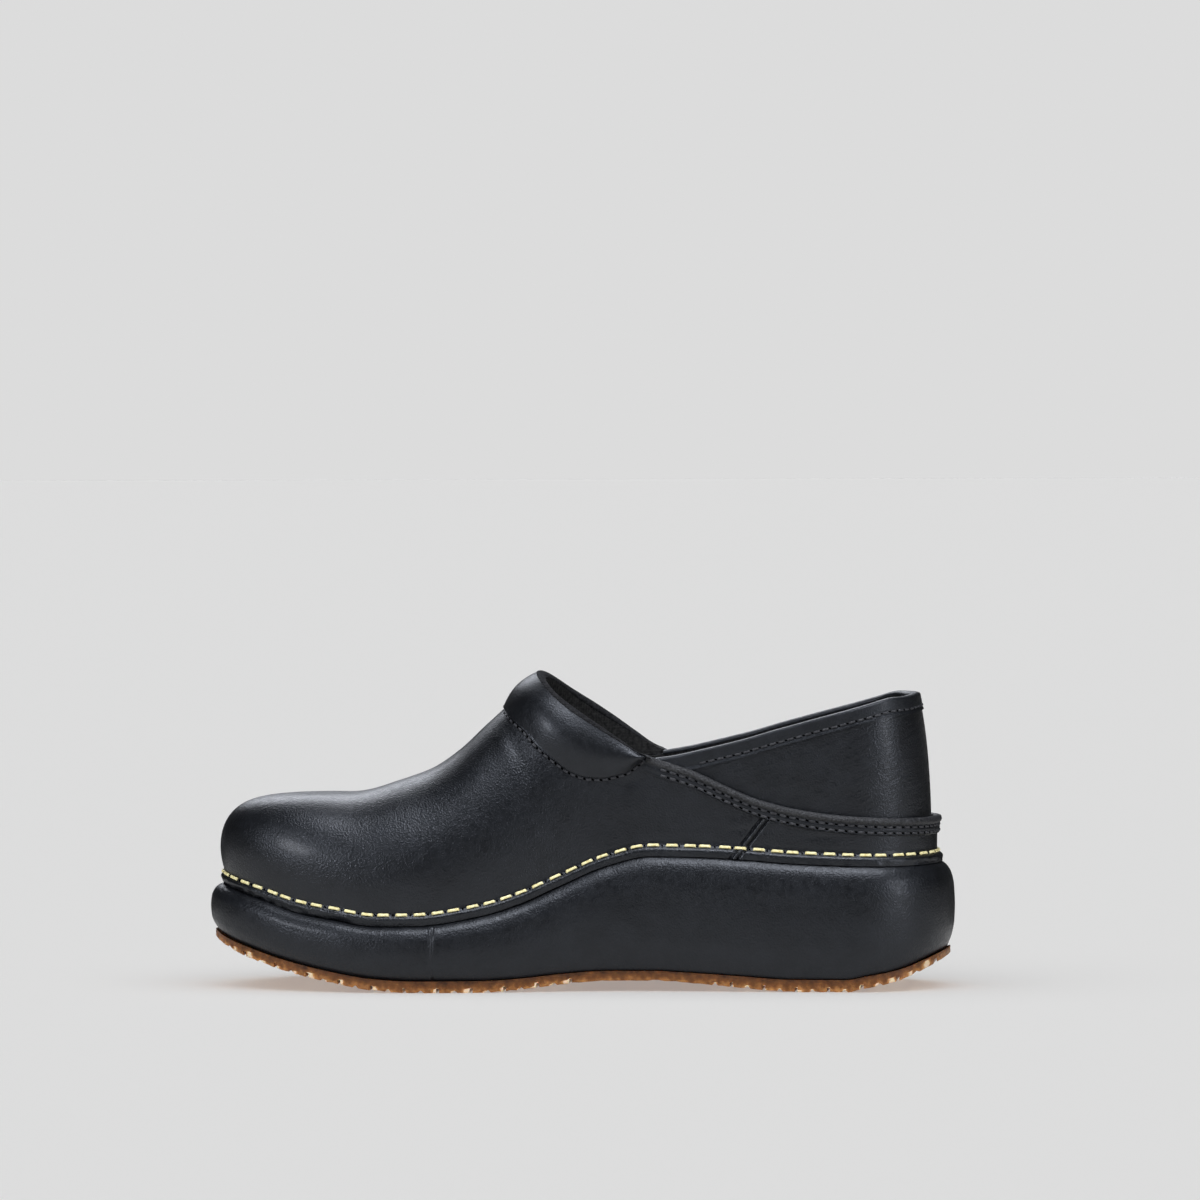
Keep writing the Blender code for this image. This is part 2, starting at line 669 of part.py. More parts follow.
def add_topline_band(collection):
    """The raised band along the heel strip's edge, with its rolled top."""
    columns = []
    for ring in heel_rings(place(ENDS_AT["band"]) - 3 * GAP):
        top = float(rise_of(TOPLINE, INSTEP_HEIGHT, ring)) + BAND_RISE
        rises = np.linspace(top - BAND_WIDTH, top, BAND_ROWS)
        rings = np.full(BAND_ROWS, ring)
        columns.append(skin(rings, lean(rings, rises), np.full(BAND_ROWS, GAP)))
    return add_shell("topline_band", columns, BAND_THICK, True, False, "binding_leather", collection)


def pad_lines():
    """Seam and rim of the padded collar in the side view, as points along each."""
    back = place(PAD_SEAM[0]["at"])
    seam_x = np.linspace(back, place(ENDS_AT["pad"]), LINE_POINTS)
    rim_x = np.linspace(back, place(ENDS_AT["throat"]), LINE_POINTS)
    seam = INSTEP_HEIGHT * read(PAD_SEAM, "top", share_of(seam_x)) + feather(seam_x)
    rim = INSTEP_HEIGHT * read(TOPLINE, "top", share_of(rim_x)) + feather(rim_x)
    return np.column_stack([seam_x, seam]), np.column_stack([rim_x, rim])


def add_instep_collar(collection):
    """The padded panel that saddles the instep between its seam and the throat."""
    seam, rim = pad_lines()
    start, end = ring_at(place(PAD_SEAM[0]["at"])), ring_at(place(ENDS_AT["pad"]))
    throat = ring_at(place(ENDS_AT["throat"]))
    half = [start] + [r for r in ring_steps() if start < r < end]
    nose = end - half[-1]
    half += [end - nose * share for share in PAD_NOSE_STEPS]
    layers = ([], [])
    for ring in half + [6 - r for r in half[::-1]]:
        way = ring if ring < 3 else 6 - ring
        low = float(lean(ring, rise_of(PAD_SEAM, INSTEP_HEIGHT, ring)))
        top = math.pi / 2
        if way < throat:
            top = float(lean(ring, rise_of(TOPLINE, INSTEP_HEIGHT, ring)))
        angles = np.linspace(min(low, top - PAD_LEAST_ANGLE), top, PAD_ROWS)
        rings = np.full(PAD_ROWS, ring)
        flat = last(rings, angles)[:, [0, 2]]
        to_seam = np.min(np.linalg.norm(flat[:, None] - seam[None], axis=2), axis=1)
        to_rim = np.min(np.linalg.norm(flat[:, None] - rim[None], axis=2), axis=1)
        q = to_seam / np.maximum(to_seam + to_rim, 1e-6)
        thick = PAD_EDGE + (PAD_RIM - PAD_EDGE) * q + PAD_PUFF * np.sin(math.pi * q)
        layers[0].append(skin(rings, angles, np.full(PAD_ROWS, PAD_GAP)))
        layers[1].append(skin(rings, angles, PAD_GAP + thick))
    return thick_sheet("instep_collar", layers[0], layers[1], "padded_leather", collection)


def main():
    for obj in list(bpy.data.objects):
        bpy.data.objects.remove(obj, do_unlink=True)
    collection = bpy.data.collections.new("chef_clog")
    bpy.context.scene.collection.children.link(collection)
    add_outsole(collection)
    add_midsole(collection)
    add_insole(collection)
    add_upper(collection)
    add_counter(collection)
    add_counter_binding(collection)
    add_topline_band(collection)
    add_instep_collar(collection)


main()
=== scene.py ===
# %% [markdown]
# # A chef's clog in black leather
# The construction model already stands in its frame: eight plain solids at their real size, for a right
# shoe with its toe at +X and its inner side at +Y. This lesson dresses it. Every piece is built again
# as a fine mesh from the same outline, side profile and last, so that it lies where its solid lies,
# and then it gets its finish. Working from the same rules is safer than tracing the solids, because a
# seam or a stitch can then be placed anywhere on the shoe by two numbers.

import json
import math

import bpy
import numpy as np
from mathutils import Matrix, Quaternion, Vector, noise

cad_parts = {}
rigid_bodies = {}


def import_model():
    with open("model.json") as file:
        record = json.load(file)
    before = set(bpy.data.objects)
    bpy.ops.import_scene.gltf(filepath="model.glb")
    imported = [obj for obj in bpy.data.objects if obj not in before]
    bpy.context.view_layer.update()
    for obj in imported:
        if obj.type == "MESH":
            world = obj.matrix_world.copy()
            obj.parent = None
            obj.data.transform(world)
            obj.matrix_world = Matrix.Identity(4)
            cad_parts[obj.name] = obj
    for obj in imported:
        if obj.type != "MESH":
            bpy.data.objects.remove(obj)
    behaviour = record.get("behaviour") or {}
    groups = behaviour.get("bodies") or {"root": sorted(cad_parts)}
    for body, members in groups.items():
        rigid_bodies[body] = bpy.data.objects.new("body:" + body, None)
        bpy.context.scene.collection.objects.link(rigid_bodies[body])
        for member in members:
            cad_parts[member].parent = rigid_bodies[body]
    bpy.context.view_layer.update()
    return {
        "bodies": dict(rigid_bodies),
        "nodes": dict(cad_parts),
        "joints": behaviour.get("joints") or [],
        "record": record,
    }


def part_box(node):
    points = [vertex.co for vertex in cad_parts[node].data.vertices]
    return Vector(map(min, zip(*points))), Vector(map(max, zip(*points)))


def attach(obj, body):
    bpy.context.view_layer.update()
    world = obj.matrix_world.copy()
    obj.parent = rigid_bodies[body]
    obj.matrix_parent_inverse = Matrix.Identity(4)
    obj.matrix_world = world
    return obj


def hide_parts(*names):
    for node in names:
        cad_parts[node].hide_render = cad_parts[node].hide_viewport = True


for leftover in list(bpy.data.objects):
    bpy.data.objects.remove(leftover, do_unlink=True)
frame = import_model()
print("solids in the frame:", sorted(frame["nodes"]))

# %% [markdown]
# Two sizes drive the rest: the platform's length and its width at the ball. They are read from the
# frame. The others are the shoemaker's own: how thick the leather is, how high the instep stands over
# the crease where upper and platform meet (the feather), and how far the platform bulges past it.

# %% Driving sizes
MM = 0.001
platform_low, platform_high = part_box("midsole")
LENGTH = platform_high.x - platform_low.x
BALL_WIDTH = platform_high.y - platform_low.y
HEEL_WIDTH = 75.6 * MM
BULGE = 4.8 * MM
INNER_WAIST = 32.5 * MM
OUTER_WAIST = 36.2 * MM
TOE_APEX = 14.0 * MM
RIDGE_TURN = 6.0 * MM
HEEL_HEIGHT = 49.0 * MM
TOE_SPRING = 21.5 * MM
ARCH_RISE = 3.9 * MM
HEEL_BEVEL = 15.0 * MM
OUTSOLE = 4.5 * MM
GAP = 0.3 * MM
UPPER_WALL = 2.0 * MM
MARGIN = 2.0 * MM
MARGIN_HEIGHT = 6.0 * MM
MARGIN_FLAT = 0.35
INSTEP_HEIGHT = 80.9 * MM
COUNTER_HEIGHT = 62.8 * MM
COUNTER_WALL = 3.4 * MM
INSOLE = 3.0 * MM
LAST_BULGE = 3.4 * MM
print("platform, mm:", round(LENGTH / MM, 1), "long and", round(BALL_WIDTH / MM, 1), "wide")

HALF = LENGTH / 2
TIP = HALF - BULGE
BACK = -TIP
BALL_HALF = BALL_WIDTH / 2 - BULGE
HEEL_HALF = HEEL_WIDTH / 2 - BULGE
HEEL_CENTRE = BACK + 1.06 * HEEL_HALF
TOE_CENTRE = TIP - 0.94 * BALL_HALF
HEEL_ROUND = 2.2

# %% [markdown]
# A last is not a formula, it is a block that somebody carved. The usual way to describe one is a table
# of stations from heel to toe. Each row holds shares of the sizes above, and a smooth curve that never
# overshoots reads any place between two rows. The tables are the same as in the construction model.

# %% Tables of the outline, the side profile and the last
OUTLINE = {
    1: {"waist": INNER_WAIST, "waist_at": 0.40, "ball_at": 0.725, "toe": 2.00},
    -1: {"waist": OUTER_WAIST, "waist_at": 0.36, "ball_at": 0.665, "toe": 2.10},
}
PROFILE = [
    {"at": 0.000, "arch": 0.00, "toe": 0.000, "heel": 1.00, "rubber": 0.50, "feather": 0.945},
    {"at": 0.036, "arch": 0.00, "toe": 0.000, "heel": 0.60, "rubber": 0.75, "feather": 0.935},
    {"at": 0.076, "arch": 0.00, "toe": 0.000, "heel": 0.25, "rubber": 0.92, "feather": 0.931},
    {"at": 0.116, "arch": 0.00, "toe": 0.000, "heel": 0.08, "rubber": 0.98, "feather": 0.933},
    {"at": 0.138, "arch": 0.00, "toe": 0.000, "heel": 0.00, "rubber": 1.00, "feather": 0.937},
    {"at": 0.210, "arch": 0.00, "toe": 0.000, "heel": 0.00, "rubber": 1.00, "feather": 0.953},
    {"at": 0.268, "arch": 0.31, "toe": 0.000, "heel": 0.00, "rubber": 0.95, "feather": 0.978},
    {"at": 0.333, "arch": 0.72, "toe": 0.000, "heel": 0.00, "rubber": 0.85, "feather": 0.998},
    {"at": 0.399, "arch": 1.00, "toe": 0.000, "heel": 0.00, "rubber": 0.80, "feather": 1.004},
    {"at": 0.457, "arch": 1.00, "toe": 0.000, "heel": 0.00, "rubber": 0.80, "feather": 0.931},
    {"at": 0.518, "arch": 0.69, "toe": 0.000, "heel": 0.00, "rubber": 0.85, "feather": 0.784},
    {"at": 0.572, "arch": 0.23, "toe": 0.000, "heel": 0.00, "rubber": 0.92, "feather": 0.649},
    {"at": 0.623, "arch": 0.00, "toe": 0.000, "heel": 0.00, "rubber": 0.95, "feather": 0.563},
    {"at": 0.707, "arch": 0.00, "toe": 0.000, "heel": 0.00, "rubber": 0.95, "feather": 0.494},
    {"at": 0.761, "arch": 0.00, "toe": 0.037, "heel": 0.00, "rubber": 0.93, "feather": 0.490},
    {"at": 0.819, "arch": 0.00, "toe": 0.163, "heel": 0.00, "rubber": 0.88, "feather": 0.537},
    {"at": 0.866, "arch": 0.00, "toe": 0.293, "heel": 0.00, "rubber": 0.88, "feather": 0.584},
    {"at": 0.917, "arch": 0.00, "toe": 0.479, "heel": 0.00, "rubber": 0.88, "feather": 0.673},
    {"at": 0.960, "arch": 0.00, "toe": 0.693, "heel": 0.00, "rubber": 0.75, "feather": 0.741},
    {"at": 1.000, "arch": 0.00, "toe": 1.000, "heel": 0.00, "rubber": 0.50, "feather": 0.815},
]
LAST = [
    {"at": 0.000, "ridge": 1.160, "full": 2.30, "swell": 0.22},
    {"at": 0.070, "ridge": 1.600, "full": 2.30, "swell": 0.22},
    {"at": 0.140, "ridge": 1.776, "full": 2.30, "swell": 0.20},
    {"at": 0.330, "ridge": 1.736, "full": 2.30, "swell": 0.18},
    {"at": 0.428, "ridge": 1.509, "full": 2.30, "swell": 0.20},
    {"at": 0.480, "ridge": 1.312, "full": 2.30, "swell": 0.30},
    {"at": 0.523, "ridge": 1.100, "full": 2.30, "swell": 0.45},
    {"at": 0.554, "ridge": 1.000, "full": 2.32, "swell": 0.60},
    {"at": 0.601, "ridge": 0.915, "full": 2.36, "swell": 0.75},
    {"at": 0.623, "ridge": 0.867, "full": 2.40, "swell": 0.80},
    {"at": 0.663, "ridge": 0.766, "full": 2.48, "swell": 0.85},
    {"at": 0.703, "ridge": 0.692, "full": 2.60, "swell": 0.90},
    {"at": 0.761, "ridge": 0.625, "full": 2.80, "swell": 0.95},
    {"at": 0.820, "ridge": 0.554, "full": 3.20, "swell": 1.00},
    {"at": 0.920, "ridge": 0.513, "full": 4.40, "swell": 1.00},
    {"at": 1.000, "ridge": 0.493, "full": 5.30, "swell": 1.00},
]


def read(table, column, at):
    """A column of a table, read smoothly and without overshoot at any place."""
    xs = np.array([row["at"] for row in table])
    ys = np.array([row[column] for row in table])
    steps = np.diff(ys) / np.diff(xs)
    slopes = np.zeros(len(xs))
    for i in range(1, len(xs) - 1):
        if steps[i - 1] * steps[i] > 0:
            slopes[i] = 2 * steps[i - 1] * steps[i] / (steps[i - 1] + steps[i])
    slopes[0], slopes[-1] = steps[0], steps[-1]
    at = np.clip(np.asarray(at, float), xs[0], xs[-1])
    i = np.clip(np.searchsorted(xs, at, side="right") - 1, 0, len(xs) - 2)
    run = xs[i + 1] - xs[i]
    t = (at - xs[i]) / run
    blend = ys[i] + (ys[i + 1] - ys[i]) * (3 * t**2 - 2 * t**3)
    return blend + run * (slopes[i] * (t - 2 * t**2 + t**3) + slopes[i + 1] * (t**3 - t**2))


print("feather height in the waist, mm:", round(HEEL_HEIGHT / MM * float(read(PROFILE, "feather", 0.4)), 1))

# %% [markdown]
# Places round the shoe are given by one number that runs round the outline like a clock: 0 at the back
# of the heel, 1 and 2 where the inner side starts and ends, 3 at the toe, and back along the outer
# side to 6. Round the heel and the toe it follows an angle, which spaces the columns of a mesh evenly
# where an outline by X alone would bunch them up.


# %% The outline, seen from above
def place(share):
    """X of a share of the length from the heel."""
    return LENGTH * share - HALF


def share_of(x):
    """Share of the length from the heel at X."""
    return (np.asarray(x, float) + HALF) / LENGTH


def ease(t):
    """A soft step from 0 to 1."""
    t = np.clip(t, 0, 1)
    return t * t * (3 - 2 * t)


def outline_y(side, x):
    """Y of the outline on one side: a round heel, a waist, the ball and a round toe."""
    row = OUTLINE[side]
    waist_x = place(row["waist_at"])
    ball_x = place(row["ball_at"])
    half = HEEL_HALF + (row["waist"] - HEEL_HALF) * ease((x - HEEL_CENTRE) / (waist_x - HEEL_CENTRE))
    half = half + (BALL_HALF - row["waist"]) * ease((x - waist_x) / (ball_x - waist_x))
    heel = np.clip((HEEL_CENTRE - x) / (HEEL_CENTRE - BACK), 0, 1)
    half = half * (1 - heel**HEEL_ROUND) ** (1 / HEEL_ROUND)
    toe = np.clip((x - ball_x) / (TIP - ball_x), 0, 1)
    reach = BALL_HALF - side * TOE_APEX
    end = side * TOE_APEX + reach * (1 - toe ** row["toe"]) ** (1 / row["toe"])
    return side * np.where(x > ball_x, end, half)


def ring_x(ring):
    """X at a place on the ring."""
    way = np.where(ring < 3, ring, 6 - ring)
    heel = HEEL_CENTRE - (HEEL_CENTRE - BACK) * np.cos(np.clip(way, 0, 1) * math.pi / 2)
    toe = TOE_CENTRE + (TIP - TOE_CENTRE) * np.sin(np.clip(way - 2, 0, 1) * math.pi / 2)
    middle = HEEL_CENTRE + (TOE_CENTRE - HEEL_CENTRE) * (way - 1)
    return np.where(way < 1, heel, np.where(way > 2, toe, middle))


def ring_at(x):
    """Place on the inner half of the ring where the outline has this X."""
    if x < HEEL_CENTRE:
        return math.acos((HEEL_CENTRE - x) / (HEEL_CENTRE - BACK)) / (math.pi / 2)
    if x > TOE_CENTRE:
        return 2 + math.asin((x - TOE_CENTRE) / (TIP - TOE_CENTRE)) / (math.pi / 2)
    return 1 + (x - HEEL_CENTRE) / (TOE_CENTRE - HEEL_CENTRE)


def outline(ring):
    """Points of the outline at places on the ring."""
    ring = np.asarray(ring, float) % 6
    x = ring_x(ring)
    return np.stack([x, np.where(ring < 3, outline_y(1, x), outline_y(-1, x))], axis=-1)


def unit(vectors):
    """The same directions, all one metre long."""
    return vectors / np.linalg.norm(vectors, axis=-1, keepdims=True)


def grown(ring, grow):
    """The outline moved out by grow along its normal."""
    step = 1e-4
    along = outline(np.asarray(ring) + step) - outline(np.asarray(ring) - step)
    normal = unit(np.stack([along[..., 1], -along[..., 0]], axis=-1))
    return outline(ring) - normal * np.asarray(grow)[..., None]


print("outline at the ball, mm:", np.round(outline(np.array([1.8, 4.2])) / MM, 1).tolist())

# %% [markdown]
# The upper is one surface over the last. Each column starts at the feather and climbs a
# superellipse, a rounder or squarer arch, to the ridge over the instep. Round the toe all columns meet
# in one point of the ridge, like the slices of an orange. `skin` gives any point of that surface and
# lifts it along the surface's normal, so the lining lies a little under it and a stitch a little over it.


# %% Heights and the surface of the last
def feather(x):
    """Height of the crease where the upper meets the platform."""
    return HEEL_HEIGHT * read(PROFILE, "feather", share_of(x))


def tread(x):
    """Height of the outsole's underside."""
    at = share_of(x)
    rise = ARCH_RISE * read(PROFILE, "arch", at) + TOE_SPRING * read(PROFILE, "toe", at)
    return rise + HEEL_BEVEL * read(PROFILE, "heel", at)


def rubber_top(x):
    """Height of the seam between platform and outsole."""
    return tread(x) + OUTSOLE * read(PROFILE, "rubber", share_of(x))


def ridge_rise(ring):
    """Height of the ridge over the feather."""
    x = ring_x(np.asarray(ring, float) % 6)
    top = np.minimum(x, TOE_CENTRE)
    return feather(top) - feather(x) + INSTEP_HEIGHT * read(LAST, "ridge", share_of(top))


def lean(ring, rise):
    """Angle on the last's arch at a height over the feather."""
    full = read(LAST, "full", share_of(ring_x(np.asarray(ring, float) % 6)))
    s = np.clip(rise / ridge_rise(ring), 0, 1)
    return np.arctan2(s, (1 - s**full) ** (1 / full))


def last(ring, angle):
    """Points on the outside of the upper: angle 0 is the feather, a right angle is the ridge."""
    ring = np.asarray(ring, float)
    x = ring_x(ring % 6)
    full = read(LAST, "full", share_of(x))
    reach = (np.cos(angle) ** full + np.sin(angle) ** full) ** (1 / full)
    out = np.clip(np.cos(angle), 0, 1) / reach
    up = np.sin(angle) / reach
    foot = grown(ring, -MARGIN * np.ones_like(ring))
    fan_x = np.clip(foot[..., 0], HEEL_CENTRE, TOE_CENTRE)
    turn_start = place(OUTLINE[1]["waist_at"])
    spine = RIDGE_TURN * ease((fan_x - turn_start) / (TOE_CENTRE - turn_start))
    anchor = np.stack([fan_x, spine], axis=-1)
    spoke = foot - anchor
    length = np.linalg.norm(spoke, axis=-1)
    height = ridge_rise(ring)
    flare = ease((MARGIN_HEIGHT - up * height) / (MARGIN_HEIGHT * (1 - MARGIN_FLAT)))
    swell = LAST_BULGE * read(LAST, "swell", share_of(x))
    puff = swell * np.sin(math.pi * np.clip(up, 0, 1) ** 0.85)
    plan = anchor + spoke / length[..., None] * (length * out + puff + MARGIN * flare)[..., None]
    return np.concatenate([plan, (feather(x) + GAP + up * height)[..., None]], axis=-1)


def skin(ring, angle, lift=0.0):
    """Points of the last moved along its normal by lift. On the ridge both sides give one point."""
    ring, angle = np.broadcast_arrays(np.asarray(ring, float), np.asarray(angle, float))
    ring = np.where(angle > math.pi / 2 - 1e-9, np.minimum(ring % 6, 6 - ring % 6), ring)
    step = 2e-3
    across = last(ring + step, angle) - last(ring - step, angle)
    up = last(ring, np.minimum(angle + step, math.pi / 2)) - last(ring, np.maximum(angle - step, 0))
    normal = np.cross(up, across)
    size = np.linalg.norm(normal, axis=-1, keepdims=True)
    normal = np.where(size > 1e-12, normal / np.maximum(size, 1e-12), [0.0, 0.0, 1.0])
    return last(ring, angle) + normal * np.asarray(lift)[..., None]


THROAT_AT = 0.554
upper_low, upper_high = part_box("upper")
print("top of the solid and of the last, mm:", round(upper_high.z / MM, 1),
      round(float(skin(ring_at(place(THROAT_AT)), math.pi / 2)[2]) / MM, 1))

# %% [markdown]
# The lines that a shoemaker marks on the last: the topline where the opening is cut, the upper edge of
# the stiff counter behind the heel, and the seam of the padded collar. Each is a height over the
# feather at stations along the shoe.

# %% Lines marked on the last
TOPLINE = [
    {"at": 0.000, "top": 0.206},
    {"at": 0.110, "top": 0.218},
    {"at": 0.160, "top": 0.226},
    {"at": 0.207, "top": 0.244},
    {"at": 0.257, "top": 0.275},
    {"at": 0.293, "top": 0.317},
    {"at": 0.341, "top": 0.385},
    {"at": 0.407, "top": 0.460},
    {"at": 0.445, "top": 0.564},
    {"at": 0.483, "top": 0.687},
    {"at": 0.523, "top": 0.846},
    {"at": 0.554, "top": 1.000},
]
COUNTER_TOP = [
    {"at": 0.000, "top": 1.000},
    {"at": 0.056, "top": 1.000},
    {"at": 0.109, "top": 0.954},
    {"at": 0.167, "top": 0.882},
    {"at": 0.225, "top": 0.799},
    {"at": 0.281, "top": 0.708},
    {"at": 0.342, "top": 0.630},
    {"at": 0.387, "top": 0.586},
    {"at": 0.410, "top": 0.571},
    {"at": 0.445, "top": 0.602},
]
PAD_SEAM = [
    {"at": 0.405, "top": 0.449},
    {"at": 0.416, "top": 0.424},
    {"at": 0.433, "top": 0.399},
    {"at": 0.455, "top": 0.402},
    {"at": 0.479, "top": 0.431},
    {"at": 0.502, "top": 0.490},
    {"at": 0.524, "top": 0.574},
    {"at": 0.546, "top": 0.669},
    {"at": 0.568, "top": 0.777},
    {"at": 0.592, "top": 0.870},
    {"at": 0.603, "top": 0.912},
]
BAND_FRONT = 0.407
COUNTER_FRONT = 0.445
THROAT = ring_at(place(THROAT_AT))


def rise_of(table, size, ring):
    """Height over the feather of a marked line, at places on the ring."""
    return size * read(table, "top", share_of(ring_x(np.asarray(ring, float) % 6)))


def topline(ring):
    """Height of the opening's edge over the feather."""
    return rise_of(TOPLINE, INSTEP_HEIGHT, ring)


def top_angle(ring):
    """Angle of the upper's edge: the topline behind the throat, and the ridge in front of it."""
    way = np.minimum(ring % 6, 6 - ring % 6)
    return np.where(way < THROAT - 1e-9, lean(ring, topline(ring)), math.pi / 2)


print("topline at the back, mm over the feather:", round(float(topline(0.0)) / MM, 1))

# %% [markdown]
# The camera stands 2.6 m away with a long lens, as in a product photograph: it looks at the inner side,
# six degrees from the heel's side and a little from above. The shoe sits low in a square frame, so the
# camera aims at a point above it instead of shifting the lens.

# %% Camera
AZIMUTH = math.radians(186.0)
ELEVATION = math.radians(3.2)
ROLL = math.radians(0.15)
DISTANCE = 2.6
MM_PER_PIXEL = 0.3725
FRAME_PIXELS = 1200
MIDDLE = Vector((0.0, 0.0, 0.055))
MIDDLE_PIXEL = (583.6, 836.0)

back = Vector((
    math.sin(AZIMUTH) * math.cos(ELEVATION),
    -math.cos(AZIMUTH) * math.cos(ELEVATION),
    math.sin(ELEVATION),
))
right = (-back).cross(Vector((0, 0, 1))).normalized()
upward = right.cross(-back)
aside = (FRAME_PIXELS / 2 - MIDDLE_PIXEL[0]) * MM_PER_PIXEL * MM
above = (MIDDLE_PIXEL[1] - FRAME_PIXELS / 2) * MM_PER_PIXEL * MM
eye = MIDDLE + back * DISTANCE
aim = MIDDLE + right * aside + upward * above

lens = bpy.data.cameras.new("camera")
lens.sensor_width = 36.0
lens.lens = lens.sensor_width * DISTANCE / (FRAME_PIXELS * MM_PER_PIXEL * MM)
lens.clip_end = 200.0
camera = bpy.data.objects.new("camera", lens)
bpy.context.scene.collection.objects.link(camera)
camera.location = eye
camera.rotation_mode = "QUATERNION"
turn = (aim - eye).to_track_quat("-Z", "Y")
camera.rotation_quaternion = turn @ Quaternion((0, 0, 1), -ROLL)
bpy.context.scene.camera = camera
print("lens, mm:", round(lens.lens, 1))

# %% [markdown]
# Black leather shows only what it reflects, so its light is built like a still-life studio. A pale
# backdrop, which only the camera sees, closes the view without a horizon. The room that the leather
# sees is a dark grey. A black card lies on the floor behind the shoe: only gloss sees it, and it keeps
# the edges that turn away from the camera dark.


# %% Floor, backdrop and black card
FLOOR_GREY = 0.865
BACKDROP_GREY = 0.716
ROOM_GREY = 0.034
STAGE_RADIUS = 40.0
CARD_SIZE = 6.0
CARD_FROM = 0.16


def flat_paint(obj, name, grey, glow=0.0):
    """A paint without any shine on a stage piece. glow is the grey that it gives off by itself."""
    paint = bpy.data.materials.new(name)
    paint.use_nodes = True
    shader = paint.node_tree.nodes["Principled BSDF"]
    shader.inputs["Base Color"].default_value = (grey, grey, grey, 1)
    shader.inputs["Roughness"].default_value = 1.0
    shader.inputs["Specular IOR Level"].default_value = 0.0
    if glow:
        shader.inputs["Emission Color"].default_value = (glow, glow, glow, 1)
        shader.inputs["Emission Strength"].default_value = 1.0
    obj.data.materials.append(paint)


bpy.context.scene.view_settings.view_transform = "Standard"
bpy.ops.mesh.primitive_circle_add(vertices=96, radius=STAGE_RADIUS, fill_type="NGON")
floor = bpy.context.object
floor.name = "floor"
flat_paint(floor, "pale_paper", FLOOR_GREY)

bpy.ops.mesh.primitive_uv_sphere_add(segments=48, ring_count=24, radius=0.99 * STAGE_RADIUS)
backdrop = bpy.context.object
backdrop.name = "backdrop"
flat_paint(backdrop, "backdrop_glow", 0.0, glow=BACKDROP_GREY)
backdrop.visible_diffuse = False
backdrop.visible_glossy = False
backdrop.visible_transmission = False
backdrop.visible_shadow = False

bpy.ops.mesh.primitive_plane_add(size=CARD_SIZE, location=(0.0, -CARD_SIZE / 2 - CARD_FROM, 0.5 * MM))
black_card = bpy.context.object
black_card.name = "black_card"
flat_paint(black_card, "card_black", 0.0)
black_card.visible_camera = False
black_card.visible_diffuse = False
black_card.visible_transmission = False
black_card.visible_shadow = False

room = bpy.data.worlds.new("room")
room.use_nodes = True
room.node_tree.nodes["Background"].inputs["Color"].default_value = (ROOM_GREY, ROOM_GREY, ROOM_GREY, 1)
bpy.context.scene.world = room
print("stage:", floor.name, backdrop.name, black_card.name)

# %% [markdown]
# A very soft sun lights the floor evenly, however far it runs. It comes in two parts: the shoe shades
# the weaker one and lets the stronger one through, so its shadow stays faint. On the shoe, a wide light
# behind draws the bright line along the ridge, and one overhead rolls over instep and shoulder. A soft
# box to each side of the camera makes the glow on toe and heel. The last light fills the matt parts,
# and no gloss shows it.


# %% Lights
COOL_WHITE = (0.90, 0.93, 1.0)
SUN_SPREAD = math.radians(100)
SUN_LEAN = math.radians(-14)

shoe = bpy.data.collections.new("chef_clog")
bpy.context.scene.collection.children.link(shoe)
stage_set = bpy.data.collections.new("stage_set")
bpy.context.scene.collection.children.link(stage_set)
stage_set.objects.link(floor)


def soft_light(name, spot, look_at, size, watts):
    """A rectangular soft box that lights the shoe only, and that the camera doesn't see."""
    data = bpy.data.lights.new(name, "AREA")
    data.shape = "RECTANGLE"
    data.color = COOL_WHITE
    data.size, data.size_y = size
    data.energy = watts
    lamp = bpy.data.objects.new(name, data)
    bpy.context.scene.collection.objects.link(lamp)
    lamp.location = spot
    lamp.rotation_euler = (Vector(look_at) - Vector(spot)).to_track_quat("-Z", "Y").to_euler()
    lamp.visible_camera = False
    lamp.light_linking.receiver_collection = shoe
    return lamp


def floor_sun(name, strength):
    """A very soft sun that lights the floor only."""
    data = bpy.data.lights.new(name, "SUN")
    data.energy = strength
    data.angle = SUN_SPREAD
    lamp = bpy.data.objects.new(name, data)
    bpy.context.scene.collection.objects.link(lamp)
    lamp.rotation_euler = (SUN_LEAN, 0.0, 0.0)
    lamp.light_linking.receiver_collection = stage_set
    return lamp


floor_sun("shading_sun", 0.30)
open_sun = floor_sun("open_sun", 2.29)
open_sun.light_linking.blocker_collection = stage_set

soft_light("behind", (0.42, -1.5, 1.15), (0.0, 0.0, 0.08), (1.0, 1.0), 11)
soft_light("overhead", (-0.25, 0.6, 2.1), (0.0, 0.0, 0.06), (1.3, 1.2), 40)
soft_light("toe_side", (1.30, 1.45, 0.88), (0.08, 0.0, 0.06), (0.36, 0.40), 13)
soft_light("heel_side", (-1.45, 1.05, 0.6), (-0.08, 0.0, 0.06), (0.34, 0.9), 8)
matt_fill = soft_light("matt_fill", (0.3, 2.2, 0.7), (0.0, 0.0, 0.03), (1.5, 1.0), 13)
matt_fill.visible_glossy = False

# %% [markdown]
# A leather finish has four parts here. The colour drifts a little, because no hide is evenly dyed. The
# roughness drifts too, which makes the shine look worn and waxed. Bumps follow, from wide to fine:
# shallow pits, creases where the leather was pulled over something stiff, the grain in smooth cells
# a little over half a millimetre wide, and pores inside it. A thin clear coat on top is the polish. All
# textures use object coordinates in metres, so the grain has its real size.


